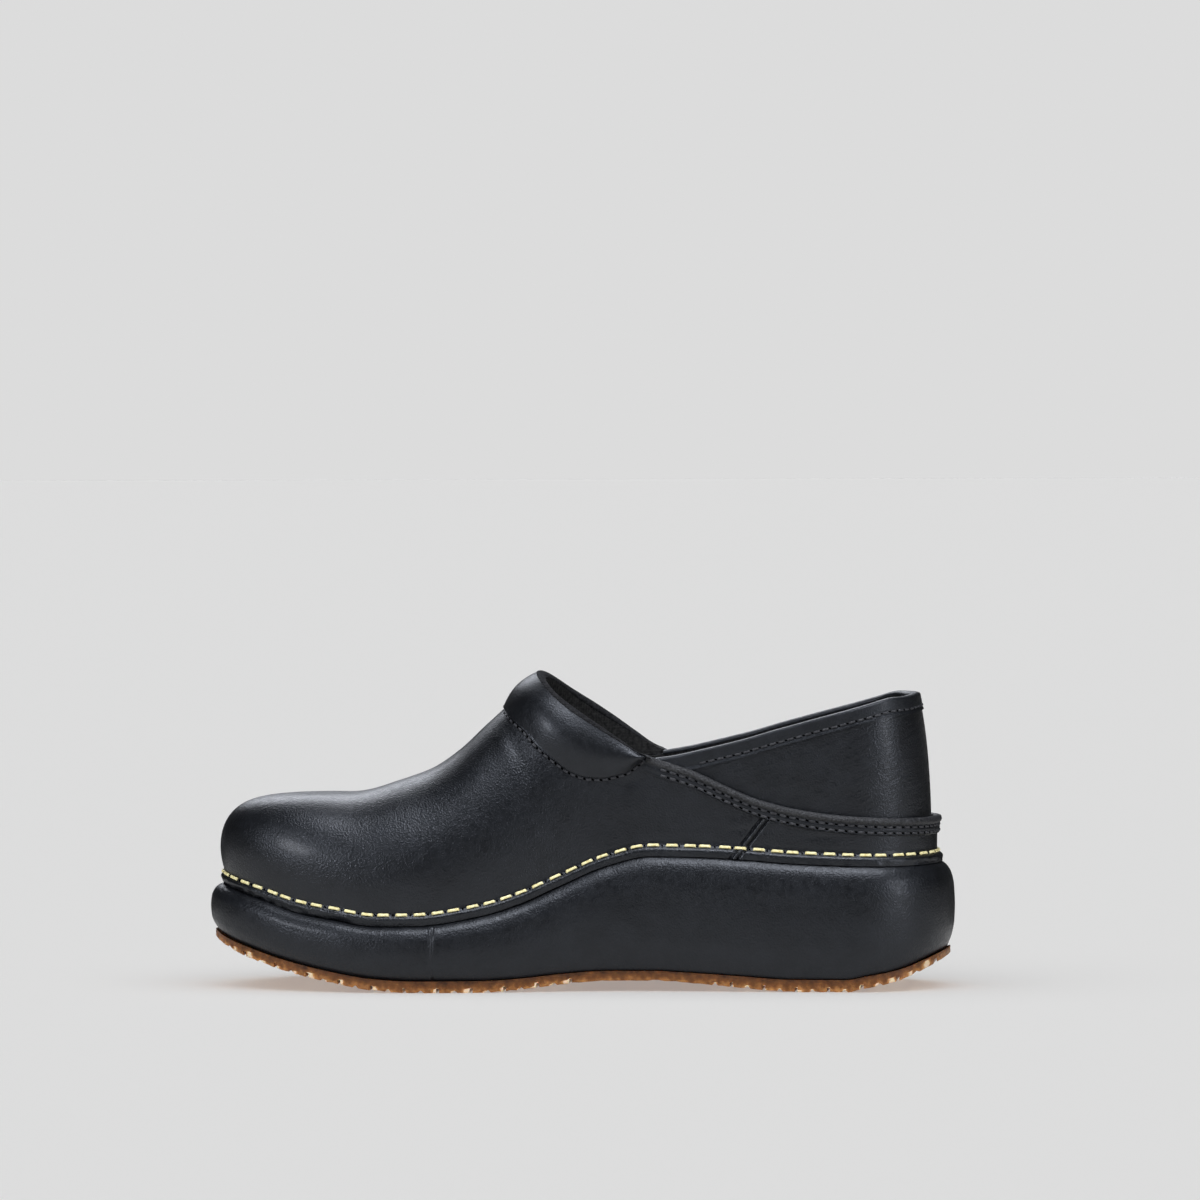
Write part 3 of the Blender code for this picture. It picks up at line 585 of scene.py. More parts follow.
# %% A leather finish
def blank(name, roughness, coat=0.0):
    """A material with its shader, its tree and the coordinates that its textures use."""
    material = bpy.data.materials.new(name)
    material.use_nodes = True
    tree = material.node_tree
    shader = tree.nodes["Principled BSDF"]
    shader.inputs["Roughness"].default_value = roughness
    shader.inputs["Coat Weight"].default_value = coat
    shader.inputs["Coat Roughness"].default_value = 0.25
    where = tree.nodes.new("ShaderNodeTexCoord").outputs["Object"]
    return material, tree, shader, where


def speckle(tree, where, size, detail=2.0):
    """Smooth noise with bumps about size wide."""
    node = tree.nodes.new("ShaderNodeTexNoise")
    node.inputs["Scale"].default_value = 1 / size
    node.inputs["Detail"].default_value = detail
    tree.links.new(where, node.inputs["Vector"])
    return node.outputs["Fac"]


def cells(tree, where, size):
    """Rounded cells about size wide, like the grain of a hide."""
    node = tree.nodes.new("ShaderNodeTexVoronoi")
    node.feature = "SMOOTH_F1"
    node.inputs["Scale"].default_value = 1 / size
    tree.links.new(where, node.inputs["Vector"])
    return node.outputs["Distance"]


def between(tree, factor, low, high):
    """A value that runs from low to high as a factor runs over its middle range."""
    node = tree.nodes.new("ShaderNodeMapRange")
    node.inputs["From Min"].default_value = 0.3
    node.inputs["From Max"].default_value = 0.7
    node.inputs["To Min"].default_value = low
    node.inputs["To Max"].default_value = high
    tree.links.new(factor, node.inputs["Value"])
    return node.outputs["Result"]


def tint(tree, factor, dark, light):
    """A colour between two others."""
    node = tree.nodes.new("ShaderNodeValToRGB")
    node.color_ramp.elements[0].position = 0.3
    node.color_ramp.elements[1].position = 0.7
    node.color_ramp.elements[0].color = (*dark, 1)
    node.color_ramp.elements[1].color = (*light, 1)
    tree.links.new(factor, node.inputs["Fac"])
    return node.outputs["Color"]


def bumps(tree, shader, layers):
    """Height textures laid over each other, each with its depth in metres."""
    under = None
    for height, depth in layers:
        node = tree.nodes.new("ShaderNodeBump")
        node.inputs["Distance"].default_value = depth
        tree.links.new(height, node.inputs["Height"])
        if under is not None:
            tree.links.new(under, node.inputs["Normal"])
        under = node.outputs["Normal"]
    tree.links.new(under, shader.inputs["Normal"])


BLUE_SHINE = (0.88, 0.92, 1.0)
BLACK = (0.0022, 0.0026, 0.0034)
WORN_BLACK = (0.0060, 0.0068, 0.0085)
FINE_GRAIN = 0.62 * MM
PIT_SIZE = 2.6 * MM
CREASE_PITCH = 1.5 * MM
CREASE_LEAN = math.radians(22)
CREASE_LENGTHS = 6.0


def leather(name, gloss, grain, grain_depth, coat, creased=0.0, dark=BLACK, light=WORN_BLACK):
    """Dyed, grained and polished leather. gloss is the least and the most roughness."""
    material, tree, shader, where = blank(name, gloss[0], coat)
    shader.inputs["Specular Tint"].default_value = (*BLUE_SHINE, 1)
    tree.links.new(tint(tree, speckle(tree, where, 9 * MM, 4), dark, light), shader.inputs["Base Color"])
    tree.links.new(between(tree, speckle(tree, where, 2 * MM, 6), *gloss), shader.inputs["Roughness"])
    slanted = tree.nodes.new("ShaderNodeMapping")
    slanted.vector_type = "TEXTURE"
    slanted.inputs["Rotation"].default_value = (0.0, CREASE_LEAN, 0.0)
    slanted.inputs["Scale"].default_value = (CREASE_LENGTHS, CREASE_LENGTHS, 1.0)
    tree.links.new(where, slanted.inputs["Vector"])
    bumps(tree, shader, [
        (speckle(tree, where, PIT_SIZE, 3), 0.03 * MM),
        (speckle(tree, slanted.outputs["Vector"], CREASE_PITCH, 3), creased),
        (cells(tree, where, grain), grain_depth),
        (speckle(tree, where, 0.6 * grain, 2), 0.6 * grain_depth),
    ])
    return material


def crumbly(name, dark, light, size, depth):
    """The cut and rubbed edge of leather: coarse crumbs whose colour follows their bumps, with painted shade between
    them and painted light on their tops.
    """
    material, tree, shader, where = blank(name, 0.5)
    crumb = speckle(tree, where, size, 3)
    tree.links.new(tint(tree, crumb, dark, light), shader.inputs["Base Color"])
    bumps(tree, shader, [(crumb, depth)])
    return material


upper_leather = leather("polished_black_leather", (0.28, 0.42), FINE_GRAIN, 0.15 * MM, 0.15)
wrap_leather = leather("platform_leather", (0.33, 0.48), 0.70 * MM, 0.11 * MM, 0.10)
pad_leather = leather("soft_black_leather", (0.32, 0.46), FINE_GRAIN, 0.09 * MM, 0.10)
binding_leather = leather("binding_leather", (0.36, 0.52), FINE_GRAIN, 0.12 * MM, 0.08)
counter_leather = leather("creased_counter_leather", (0.28, 0.42), FINE_GRAIN, 0.14 * MM, 0.15,
                          creased=0.24 * MM)
# The piping's crumbly edge has painted shade between its crumbs and painted light on their tops.
crumbly_leather = crumbly("crumbly_edge_leather", (0.002, 0.002, 0.003), (0.038, 0.039, 0.042),
                          0.8 * MM, 0.6 * MM)
print("leathers:", [m.name for m in bpy.data.materials if "leather" in m.name])

# %% [markdown]
# The other finishes are simpler. The lining is a fine weave, drawn by two crossed waves. The stitch
# thread is waxed and cream-coloured, and the tonal thread is black. The outsole is amber gum rubber,
# which lets a little light in. Its colour holds painted shade, darker under the platform, and a
# painted glow at the tread, so it follows a value that is written into the mesh: 0 at the seam, 1 at
# the tread, and more in the cuts, which are painted pale as if light came through them.


# %% Lining, thread and rubber
def waves(tree, where, size, axis):
    """Parallel threads, size apart."""
    node = tree.nodes.new("ShaderNodeTexWave")
    node.bands_direction = axis
    node.inputs["Scale"].default_value = 1 / (size * 3.2)
    node.inputs["Distortion"].default_value = 0.6
    tree.links.new(where, node.inputs["Vector"])
    return node.outputs["Fac"]


def woven_lining(name, dark=(0.022, 0.022, 0.022), light=(0.060, 0.059, 0.057)):
    """A dark matt textile."""
    material, tree, shader, where = blank(name, 0.92)
    colour = tint(tree, speckle(tree, where, 1.2 * MM, 3), dark, light)
    tree.links.new(colour, shader.inputs["Base Color"])
    shader.inputs["Specular IOR Level"].default_value = 0.15
    bumps(tree, shader, [
        (waves(tree, where, 0.6 * MM, "X"), 0.10 * MM),
        (waves(tree, where, 0.6 * MM, "Z"), 0.10 * MM),
    ])
    return material


def waxed_thread(name, dark, light, roughness):
    """Thread with its fibres."""
    material, tree, shader, where = blank(name, roughness)
    tree.links.new(tint(tree, speckle(tree, where, 1.1 * MM, 4), dark, light), shader.inputs["Base Color"])
    bumps(tree, shader, [(speckle(tree, where, 0.16 * MM, 2), 0.05 * MM)])
    return material


# Colours of the rubber, from painted shade under the platform through its own amber to a painted glow at the tread
# and the pale paint in the cuts.
RUBBER_SHADE_AND_GLOW = [
    (0.30, (0.045, 0.018, 0.008)),
    (0.60, (0.170, 0.064, 0.019)),
    (0.88, (0.500, 0.230, 0.072)),
    (1.00, (0.800, 0.620, 0.420)),
]


def gum_rubber(name):
    """Amber rubber with painted shade under the platform, a painted glow at the tread and painted light in the cuts.
    """
    material, tree, shader, where = blank(name, 0.38)
    # The value of painted shade and glow that is written into the mesh steers the colour, mixed with random mottling.
    depth = tree.nodes.new("ShaderNodeAttribute")
    depth.attribute_name = "painted_shade_and_glow"
    mottle_and_painted_light = tree.nodes.new("ShaderNodeMath")
    mottle_and_painted_light.operation = "MULTIPLY_ADD"
    mottle_and_painted_light.inputs[1].default_value = 0.75
    tree.links.new(speckle(tree, where, 2.4 * MM, 5), mottle_and_painted_light.inputs[0])
    lower = tree.nodes.new("ShaderNodeMath")
    lower.operation = "MULTIPLY"
    lower.inputs[1].default_value = 0.45
    tree.links.new(depth.outputs["Fac"], lower.inputs[0])
    tree.links.new(lower.outputs["Value"], mottle_and_painted_light.inputs[2])
    ramp = tree.nodes.new("ShaderNodeValToRGB")
    for at, shade in zip((0, 1), (RUBBER_SHADE_AND_GLOW[0], RUBBER_SHADE_AND_GLOW[-1])):
        ramp.color_ramp.elements[at].position = shade[0]
        ramp.color_ramp.elements[at].color = (*shade[1], 1)
    for position, colour in RUBBER_SHADE_AND_GLOW[1:-1]:
        ramp.color_ramp.elements.new(position).color = (*colour, 1)
    tree.links.new(mottle_and_painted_light.outputs["Value"], ramp.inputs["Fac"])
    tree.links.new(ramp.outputs["Color"], shader.inputs["Base Color"])
    shader.inputs["Specular IOR Level"].default_value = 0.3
    shader.inputs["Subsurface Weight"].default_value = 0.25
    shader.inputs["Subsurface Radius"].default_value = (1.0, 0.35, 0.1)
    shader.inputs["Subsurface Scale"].default_value = 2 * MM
    bumps(tree, shader, [
        (speckle(tree, where, 2.5 * MM, 3), 0.12 * MM),
        (speckle(tree, where, 0.5 * MM, 2), 0.04 * MM),
    ])
    return material


lining_cloth = woven_lining("woven_lining")
edge_tape = woven_lining("knitted_edge_tape", (0.010, 0.010, 0.011), (0.032, 0.032, 0.034))
cream_thread = waxed_thread("cream_thread", (0.70, 0.58, 0.22), (1.0, 0.94, 0.56), 0.42)
black_thread = waxed_thread("black_thread", (0.012, 0.012, 0.015), (0.048, 0.049, 0.054), 0.45)
# The needle holes are black ovals of painted shade, standing in for the shade inside real holes.
hole_shade_paint, _, hole_shader, _ = blank("needle_hole_painted_shade", 1.0)
hole_shader.inputs["Base Color"].default_value = (0.0008, 0.0008, 0.0008, 1)
hole_shader.inputs["Specular IOR Level"].default_value = 0.0
gum = gum_rubber("amber_gum_rubber")
footbed_leather = leather("footbed_leather", (0.60, 0.80), 0.7 * MM, 0.03 * MM, 0.0,
                          dark=(0.012, 0.012, 0.012), light=(0.028, 0.027, 0.026))
print("finishes:", len(bpy.data.materials))

# %% [markdown]
# Every piece of this shoe is a skin with thickness, so one helper makes them all. It takes columns of
# points; each column is a closed loop that climbs the outside and comes down the inside. Neighbouring
# columns are joined by quads, points in the same spot become one, and a wall that appears twice, as
# on the ridge where both halves meet, is inside the leather and is dropped. A second helper
# reports what was made, with the number of open edges, which has to be none.


# %% Helpers that turn columns of points into solid pieces
def weld(points, faces):
    """Equal points joined, and faces that then collapse or lie on each other left out."""
    _, first, number = np.unique(np.round(points, 6), axis=0, return_index=True, return_inverse=True)
    number = number.ravel()
    loops = [list(dict.fromkeys(number[face].tolist())) for face in faces]
    keys = [tuple(sorted(loop)) for loop in loops]
    count = {}
    for key in keys:
        count[key] = count.get(key, 0) + 1
    kept = [loop for loop, key in zip(loops, keys) if len(loop) > 2 and count[key] == 1]
    return points[first], kept


def piece(name, points, faces, finish, sharp=60):
    """A mesh object from points and faces, shaded smooth, with a line that says what was made."""
    points, faces = weld(np.asarray(points, float), faces)
    mesh = bpy.data.meshes.new(name)
    mesh.from_pydata(points.tolist(), [], faces)
    mesh.validate()
    mesh.materials.append(finish)
    mesh.shade_smooth()
    mesh.set_sharp_from_angle(angle=math.radians(sharp))
    obj = bpy.data.objects.new(name, mesh)
    shoe.objects.link(obj)
    uses = np.zeros(len(mesh.edges), int)
    np.add.at(uses, [loop.edge_index for loop in mesh.loops], 1)
    triangles = sum(len(face) - 2 for face in faces)
    print(f"{name}: {triangles} triangles, {int((uses != 2).sum())} open edges")
    return obj


def ring_shell(name, columns, finish, closed, sharp=60):
    """A piece from columns that are closed loops, all with the same number of points."""
    columns = np.asarray(columns, float)
    count, rows = columns.shape[:2]
    i = np.arange(count if closed else count - 1)[:, None]
    j = np.arange(rows)[None, :]
    left, right_side = i * rows, (i + 1) % count * rows
    quads = np.stack([left + j, left + (j + 1) % rows, right_side + (j + 1) % rows, right_side + j], -1)
    faces = list(quads.reshape(-1, 4))
    if not closed:
        faces.append(np.arange(rows)[::-1])
        faces.append((count - 1) * rows + np.arange(rows))
    return piece(name, columns.reshape(-1, 3), faces, finish, sharp)


def walled(name, outside, inside, finish, closed=False):
    """A piece between two surfaces: every column climbs the outside and comes down the inside."""
    return ring_shell(name, np.concatenate([outside, inside[:, ::-1]], axis=1), finish, closed)


def dress(obj, slot, *nodes):
    """The piece rides on the shoe and stands for its CAD solids, which are hidden. slot is not used."""
    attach(obj, "root")
    if nodes:
        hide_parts(*nodes)
    return obj


def rough(points, size, seed=0.0):
    """Smooth noise from -1 to 1, with bumps about size wide."""
    shift = Vector((seed, -seed, 2 * seed))
    flat = (np.asarray(points).reshape(-1, 3) / size).tolist()
    return np.array([noise.noise(Vector(p) + shift) for p in flat]).reshape(np.shape(points)[:-1])


# %% [markdown]
# The columns of the fine meshes stand about a millimetre apart. Just behind the throat the topline
# turns up steeply, so there the columns crowd together.

# %% Places of the columns
THROAT_REACH = 12 * MM
behind_throat = [ring_at(place(THROAT_AT) - THROAT_REACH * (k / 16) ** 2) for k in range(16, 0, -1)]
half_ring = np.concatenate([
    np.linspace(0, 1, 46)[:-1],
    np.linspace(1, behind_throat[0], 96)[:-1],
    behind_throat,
    np.linspace(THROAT, 2, 70)[:-1],
    np.linspace(2, 3, 66),
])


def both_sides(inner, outer=None):
    """Places once round the shoe, from the heel by the inner side to the toe and back."""
    outer = inner if outer is None else outer
    return np.concatenate([inner, 6 - outer[-2:0:-1]])


def round_heel(front):
    """Places from the outer side round the heel to the inner side, as far as front."""
    half = np.append(half_ring[half_ring < front - 1e-3], front)
    return np.concatenate([6 - half[::-1], 6 + half[1:]])


print("columns round the shoe:", len(both_sides(half_ring)))

# %% [markdown]
# ## The outsole
# Gum rubber, 4.5 mm thick, glued under the platform. Knife cuts run straight across it every 12 mm,
# with a shallow V between two cuts, and in profile they bite into its lower edge. The arch stays
# smooth. It could be one box with cutters, but cuts that follow the rocker are simpler to model as
# stations: four heights across each slit and three across each V.

# %% Outsole
TREAD_PITCH = 11.9 * MM
SLIT_WIDTH = 1.0 * MM
SLIT_DEPTH = 1.7 * MM
NOTCH_WIDTH = 2.2 * MM
NOTCH_DEPTH = 1.0 * MM
WALL_SLOPE = 0.08 * MM
TREAD_FROM, TREAD_TO = place(0.075) - TREAD_PITCH, place(0.945)
SMOOTH_ARCH = (place(0.335) - TREAD_PITCH, place(0.475))
OUTSOLE_EDGE = BULGE * 0.42 + 1.0 * MM
# The bottoms of the cuts are painted pale, as if light came through them.
PAINTED_CUT_LIGHT = 1.8


def tread_cuts():
    """Places along the sole with the depth cut there."""
    cuts = {float(x): 0.0 for x in ring_x(half_ring[::2])}
    slits = np.arange(TREAD_FROM, TREAD_TO, TREAD_PITCH)
    for slit in slits[(slits < SMOOTH_ARCH[0]) | (slits > SMOOTH_ARCH[1])]:
        notch = slit + TREAD_PITCH / 2
        edge, side = SLIT_WIDTH / 2, NOTCH_WIDTH / 2
        for x in list(cuts):
            if abs(x - slit) < edge + 3 * WALL_SLOPE or abs(x - notch) < side + 3 * WALL_SLOPE:
                del cuts[x]
        profile = {-edge - WALL_SLOPE: 0.0, -edge: SLIT_DEPTH, edge: SLIT_DEPTH, edge + WALL_SLOPE: 0.0}
        cuts.update({slit + step: depth for step, depth in profile.items()})
        cuts.update({notch - side: 0.0, notch: NOTCH_DEPTH, notch + side: 0.0})
    return sorted(cuts.items())


def stacked(name, rows, finish, sharp=40):
    """A solid from loops round the shoe, stacked from top to bottom and closed across."""
    rows = np.asarray(rows)
    layers, count = rows.shape[:2]
    i = np.arange(count)
    j = (i + 1) % count
    faces = []
    for k in range(layers - 1):
        a, b = k * count, (k + 1) * count
        faces += list(np.stack([a + i, a + j, b + j, b + i], axis=-1))
    for base, flip in ((0, True), ((layers - 1) * count, False)):
        near = np.arange(count // 2)
        cap = base + np.stack([near, near + 1, (count - near - 1) % count, (count - near) % count], -1)
        faces += list(cap[:, ::-1] if flip else cap)
    return piece(name, rows.reshape(-1, 3), faces, finish, sharp)


def platform_loop(ring, grow, height):
    """A loop at an offset of the outline, each point at a height worked out from its X."""
    return np.column_stack([grown(ring, grow * np.ones_like(ring)), height(ring_x(ring))])


cut_at, cut_depth = np.array(tread_cuts()).T
sole_ring = both_sides(np.array([ring_at(x) for x in cut_at]))


def ground(x):
    """Underside of the outsole with its cuts."""
    return tread(x) + np.interp(x, cut_at, cut_depth)


sole_rows = []
for down in np.linspace(0, 1, 9):
    def height(x, down=down):
        """A level of the sole's edge, bent up where a cut reaches it."""
        level = rubber_top(x) + (tread(x) + 0.10 * OUTSOLE - rubber_top(x)) * down
        return np.maximum(level, ground(x) + 0.05 * OUTSOLE * (1 - down))

    loop = platform_loop(sole_ring, OUTSOLE_EDGE, height)
    worn = 0.15 * MM * rough(loop, 3 * MM, 2) * math.sin(math.pi * min(1, down + 0.1))
    sole_rows.append(platform_loop(sole_ring, OUTSOLE_EDGE + worn, height))
sole_foot = platform_loop(sole_ring, OUTSOLE_EDGE - 0.35 * MM, ground)
sole_foot[:, 2] += 0.5 * MM * np.clip(rough(sole_foot, 2.3 * MM, 6), 0, 1)
sole_rows.append(sole_foot)
outsole = stacked("gum_outsole", sole_rows, gum, sharp=30)

# The value written per point is painted light and shade: 0 at the seam for painted shade under the platform, up to 1
# at the tread for a painted glow, and more in the cuts for painted light.
painted_shade_and_glow = outsole.data.attributes.new("painted_shade_and_glow", "FLOAT", "POINT")
for vertex, value in zip(outsole.data.vertices, painted_shade_and_glow.data):
    seam = float(rubber_top(vertex.co.x))
    value.value = max(0.0, (seam - vertex.co.z) / OUTSOLE)
    # Points in the bottom of a cut get the painted light.
    if vertex.co.z < ground(vertex.co.x) + 0.1 * MM and ground(vertex.co.x) > tread(vertex.co.x) + 0.3 * MM:
        value.value = PAINTED_CUT_LIGHT
dress(outsole, "gum_rubber", "outsole")
print("cuts across the tread:", int((cut_depth > 0).sum()))

# %% [markdown]
# ## The platform
# A light core wrapped in one strip of leather. It bulges past the feather like a cushion, most of all
# half way down. In profile the strip's own closing seam is a thin upright line at the ball, and
# where the leather is turned in under the upper it puckers. A bevelled block would look like
# plastic; rows that swell by a table, with small folds near the shoulder, look pulled over a core.

# %% Platform
SIDE = [
    {"at": 0.00, "swell": 0.00},
    {"at": 0.05, "swell": 0.40},
    {"at": 0.13, "swell": 0.70},
    {"at": 0.28, "swell": 0.93},
    {"at": 0.50, "swell": 1.00},
    {"at": 0.71, "swell": 0.94},
    {"at": 0.87, "swell": 0.74},
    {"at": 1.00, "swell": 0.42},
]
WRAP_SEAM_X = 50.8 * MM
SEAM_WIDTH = 0.45 * MM
SEAM_DEPTH = 0.30 * MM

wrap_half = np.union1d(half_ring, np.linspace(ring_at(WRAP_SEAM_X - 2 * MM), ring_at(WRAP_SEAM_X + 2 * MM), 17))
wrap_ring = both_sides(wrap_half, half_ring)


def wrap_relief(points, ring, down):
    """Puckers under the shoulder, the closing seam and the soft unevenness of wrapped leather."""
    stretched = points * [1.0, 1.0, 0.35]
    pucker = np.exp(-(((down - 0.10) / 0.10) ** 2))
    lift = 0.16 * MM * pucker * rough(stretched, 3.2 * MM, 4)
    lift += 0.22 * MM * rough(points, 24 * MM, 1) * math.sin(math.pi * down)
    seam = (points[:, 0] - WRAP_SEAM_X) / SEAM_WIDTH
    inner = points[:, 1] > 0
    ridge = 0.5 * np.exp(-((seam - 2) ** 2)) - np.exp(-(seam**2))
    return lift + np.where(inner, SEAM_DEPTH * ridge * (down > 0.04), 0.0)


wrap_rows = []
for down in 0.5 - 0.5 * np.cos(np.linspace(0.06, 1, 44) * math.pi):
    down = down if down > 0.01 else 0.0

    def height(x, down=down):
        """A level between the feather and the rubber."""
        return feather(x) + (rubber_top(x) + GAP - feather(x)) * down

    swell = BULGE * float(read(SIDE, "swell", down))
    flat = platform_loop(wrap_ring, swell, height)
    wrap_rows.append(platform_loop(wrap_ring, swell + wrap_relief(flat, wrap_ring, down), height))
platform = stacked("wrapped_platform", wrap_rows, wrap_leather, sharp=80)
dress(platform, "sole_leather", "midsole")

# %% [markdown]
# ## The upper
# One hide forms the toe, the sides and the low strip round the heel. Its edge flares out over the
# platform and is stitched down, and below the stitches the raw edge is painted and crinkles. On the
# inner side a slanting seam closes it. All of this is relief: the surface of the last is lifted or
# sunk along its normal, by a groove for the stitches, two ridges for the seam, and creases that are
# listed one by one, each a soft trough from one place on the shoe to another.

# %% Relief of the upper
PAD_FRONT = 0.603
PUCKER_REACH = 4.5 * MM
PUCKER_DEPTH = 0.20 * MM


def side_line(table, at_end):
    """A marked line in the side view, as points of X and Z."""
    x = np.linspace(place(PAD_SEAM[0]["at"]), place(at_end), 200)
    return np.column_stack([x, INSTEP_HEIGHT * read(table, "top", share_of(x)) + feather(x)])


def way_along(line):
    """How far along a line each of its points lies."""
    return np.concatenate([[0], np.cumsum(np.linalg.norm(np.diff(line, axis=0), axis=1))])


def seam_place(points):
    """For each point, how far along the collar's seam it lies and how far away from it."""
    line = side_line(PAD_SEAM, PAD_FRONT)
    way = way_along(line)
    flat = points[..., [0, 2]].reshape(-1, 1, 2)
    near = []
    for chunk in np.array_split(flat, 40):
        gaps = np.linalg.norm(chunk - line[None], axis=2)
        nearest = gaps.argmin(axis=1)
        near.append(np.column_stack([way[nearest], gaps[np.arange(len(chunk)), nearest]]))
    near = np.concatenate(near).reshape(*points.shape[:-1], 2)
    return near[..., 0], near[..., 1]


WELT_LINE = 4.2 * MM
GROOVE_DEPTH = 0.60 * MM
GROOVE_WIDTH = 1.05 * MM
PAINTED_EDGE = 3.0 * MM
CLOSING_SEAM_FOOT = -58.5 * MM
CLOSING_SEAM_LEAN = 0.735
CLOSING_SEAM_GROOVES = 1.20 * MM
LEATHER = 1.3 * MM

# Soft troughs on the upper: side of the shoe, share of the length and height in metres at both ends
CREASES = [
    {"side": 1, "at": 0.300, "up": 0.0100, "to_at": 0.232, "to_up": 0.0120, "wide": 0.0016, "deep": 0.00018},
    {"side": 1, "at": 0.200, "up": 0.0095, "to_at": 0.140, "to_up": 0.0105, "wide": 0.0014, "deep": 0.00015},
    {"side": 1, "at": 0.560, "up": 0.0500, "to_at": 0.604, "to_up": 0.0690, "wide": 0.0022, "deep": 0.00028},
    {"side": 1, "at": 0.548, "up": 0.0420, "to_at": 0.590, "to_up": 0.0600, "wide": 0.0026, "deep": 0.00022},
    {"side": -1, "at": 0.565, "up": 0.0480, "to_at": 0.606, "to_up": 0.0670, "wide": 0.0024, "deep": 0.00028},
    {"side": 1, "at": 0.445, "up": 0.0270, "to_at": 0.395, "to_up": 0.0300, "wide": 0.0024, "deep": 0.00020},
    {"side": -1, "at": 0.420, "up": 0.0240, "to_at": 0.350, "to_up": 0.0180, "wide": 0.0026, "deep": 0.00022},
    {"side": -1, "at": 0.250, "up": 0.0100, "to_at": 0.170, "to_up": 0.0110, "wide": 0.0016, "deep": 0.00018},
]


def trough(points, rise, crease):
    """A crease: a soft trough with a low swelling beside it, fading out at both ends."""
    start = np.array([place(crease["at"]), crease["up"]])
    run = np.array([place(crease["to_at"]), crease["to_up"]]) - start
    away = np.stack([points[..., 0], rise], axis=-1) - start
    t = np.clip(away @ run / (run @ run), 0, 1)
    across = (away[..., 0] * run[1] - away[..., 1] * run[0]) / np.linalg.norm(run) / crease["wide"]
    beyond = np.linalg.norm(away - t[..., None] * run, axis=-1) / crease["wide"]
    fade = np.sin(math.pi * t) * (points[..., 1] * crease["side"] > 0)
    swelling = 0.5 * np.exp(-((across - 1.6) ** 2)) * np.exp(-((beyond / 3) ** 2))
    return crease["deep"] * fade * (swelling - np.exp(-(beyond**2)))


def upper_relief(points, rise):
    """How far the leather stands out from the last."""
    lift = 0.10 * MM * rough(points, 28 * MM, 7) + 0.04 * MM * rough(points, 8 * MM, 8)
    lift *= ease((rise - WELT_LINE) / (4 * MM))
    lift -= GROOVE_DEPTH * np.exp(-(((rise - WELT_LINE) / GROOVE_WIDTH) ** 2))
    painted = ease((PAINTED_EDGE - rise) / (1 * MM))
    at_ends = ease((np.abs(points[..., 0] + 12 * MM) - 78 * MM) / (25 * MM))
    crinkle = (0.16 + 0.34 * at_ends) * MM
    lift += painted * (crinkle * rough(points, 2.1 * MM, 5) + 0.12 * MM)
    seam = (points[..., 0] - (CLOSING_SEAM_FOOT - CLOSING_SEAM_LEAN * rise)) / 1.2
    grooves = np.exp(-(((np.abs(seam) - CLOSING_SEAM_GROOVES) / (0.38 * MM)) ** 2))
    strip = np.exp(-((seam / (0.65 * MM)) ** 2))
    lift += np.where(points[..., 1] > 0, 0.48 * MM * strip - 0.75 * MM * grooves, 0.0)
    along, away = seam_place(points)
    pucker = np.exp(-((away / PUCKER_REACH) ** 2))
    lift += PUCKER_DEPTH * pucker * rough(np.stack([along / 2.4, away / 9, 0 * away], -1), MM, 3)
    for crease in CREASES:
        lift += trough(points, rise, crease)
    return lift


# %% Upper
def upper_columns(ring, foot_rises, rows):
    """Angles of every column's rows: the stitched margin, then even steps to the edge or the ridge."""
    foot = np.stack([lean(ring, rise * np.ones_like(ring)) for rise in foot_rises], axis=1)
    steps = np.linspace(0, 1, rows)[None, 1:]
    start, end = foot[:, -1:], top_angle(ring)[:, None]
    return np.concatenate([foot, start + (end - start) * steps], axis=1)


seam_places = np.linspace(ring_at(-76 * MM), ring_at(-56 * MM), 80)
upper_ring = both_sides(np.union1d(half_ring, seam_places), half_ring)
outer_angles = upper_columns(upper_ring, np.linspace(0, MARGIN_HEIGHT, 15), 62)
outer_rings = np.repeat(upper_ring[:, None], outer_angles.shape[1], axis=1)
bare = last(outer_rings, outer_angles)
outer_rise = bare[..., 2] - feather(ring_x(outer_rings)) - GAP
outside = skin(outer_rings, outer_angles, upper_relief(bare, outer_rise))

inner_angles = upper_columns(upper_ring, [0, 0.5 * MARGIN_HEIGHT, MARGIN_HEIGHT], 16)
inner_rings = np.repeat(upper_ring[:, None], inner_angles.shape[1], axis=1)
inside = skin(inner_rings, inner_angles, np.full(inner_angles.shape, -LEATHER))
upper = walled("leather_upper", outside, inside, upper_leather, closed=True)
dress(upper, "black_leather", "upper")

# %% [markdown]
# ## The welt stitches
# Waxed cream thread, thick enough to stand out: each stitch comes out of the groove, lies flat for
# four and a half millimetres and dives back. A curve with a dash pattern would only be a picture of
# it, so each stitch is a small closed body with the twist of its two plies, bent along the groove.
# The spacing wanders a little, as from a machine that is fed by hand.


# %% Stitches
def on_skin(ring, rise, lift):
    """Points and normals of a line on the last."""
    angle = lean(ring, rise)
    points = skin(ring, angle, lift * np.ones_like(ring))
    normals = skin(ring, angle, (lift + MM) * np.ones_like(ring)) - points
    return points, unit(normals)


def spots_at(values, way, at):
    """Points or normals of a line, read at distances along it."""
    return np.stack([np.interp(at, way, values[:, k]) for k in range(3)], axis=-1)


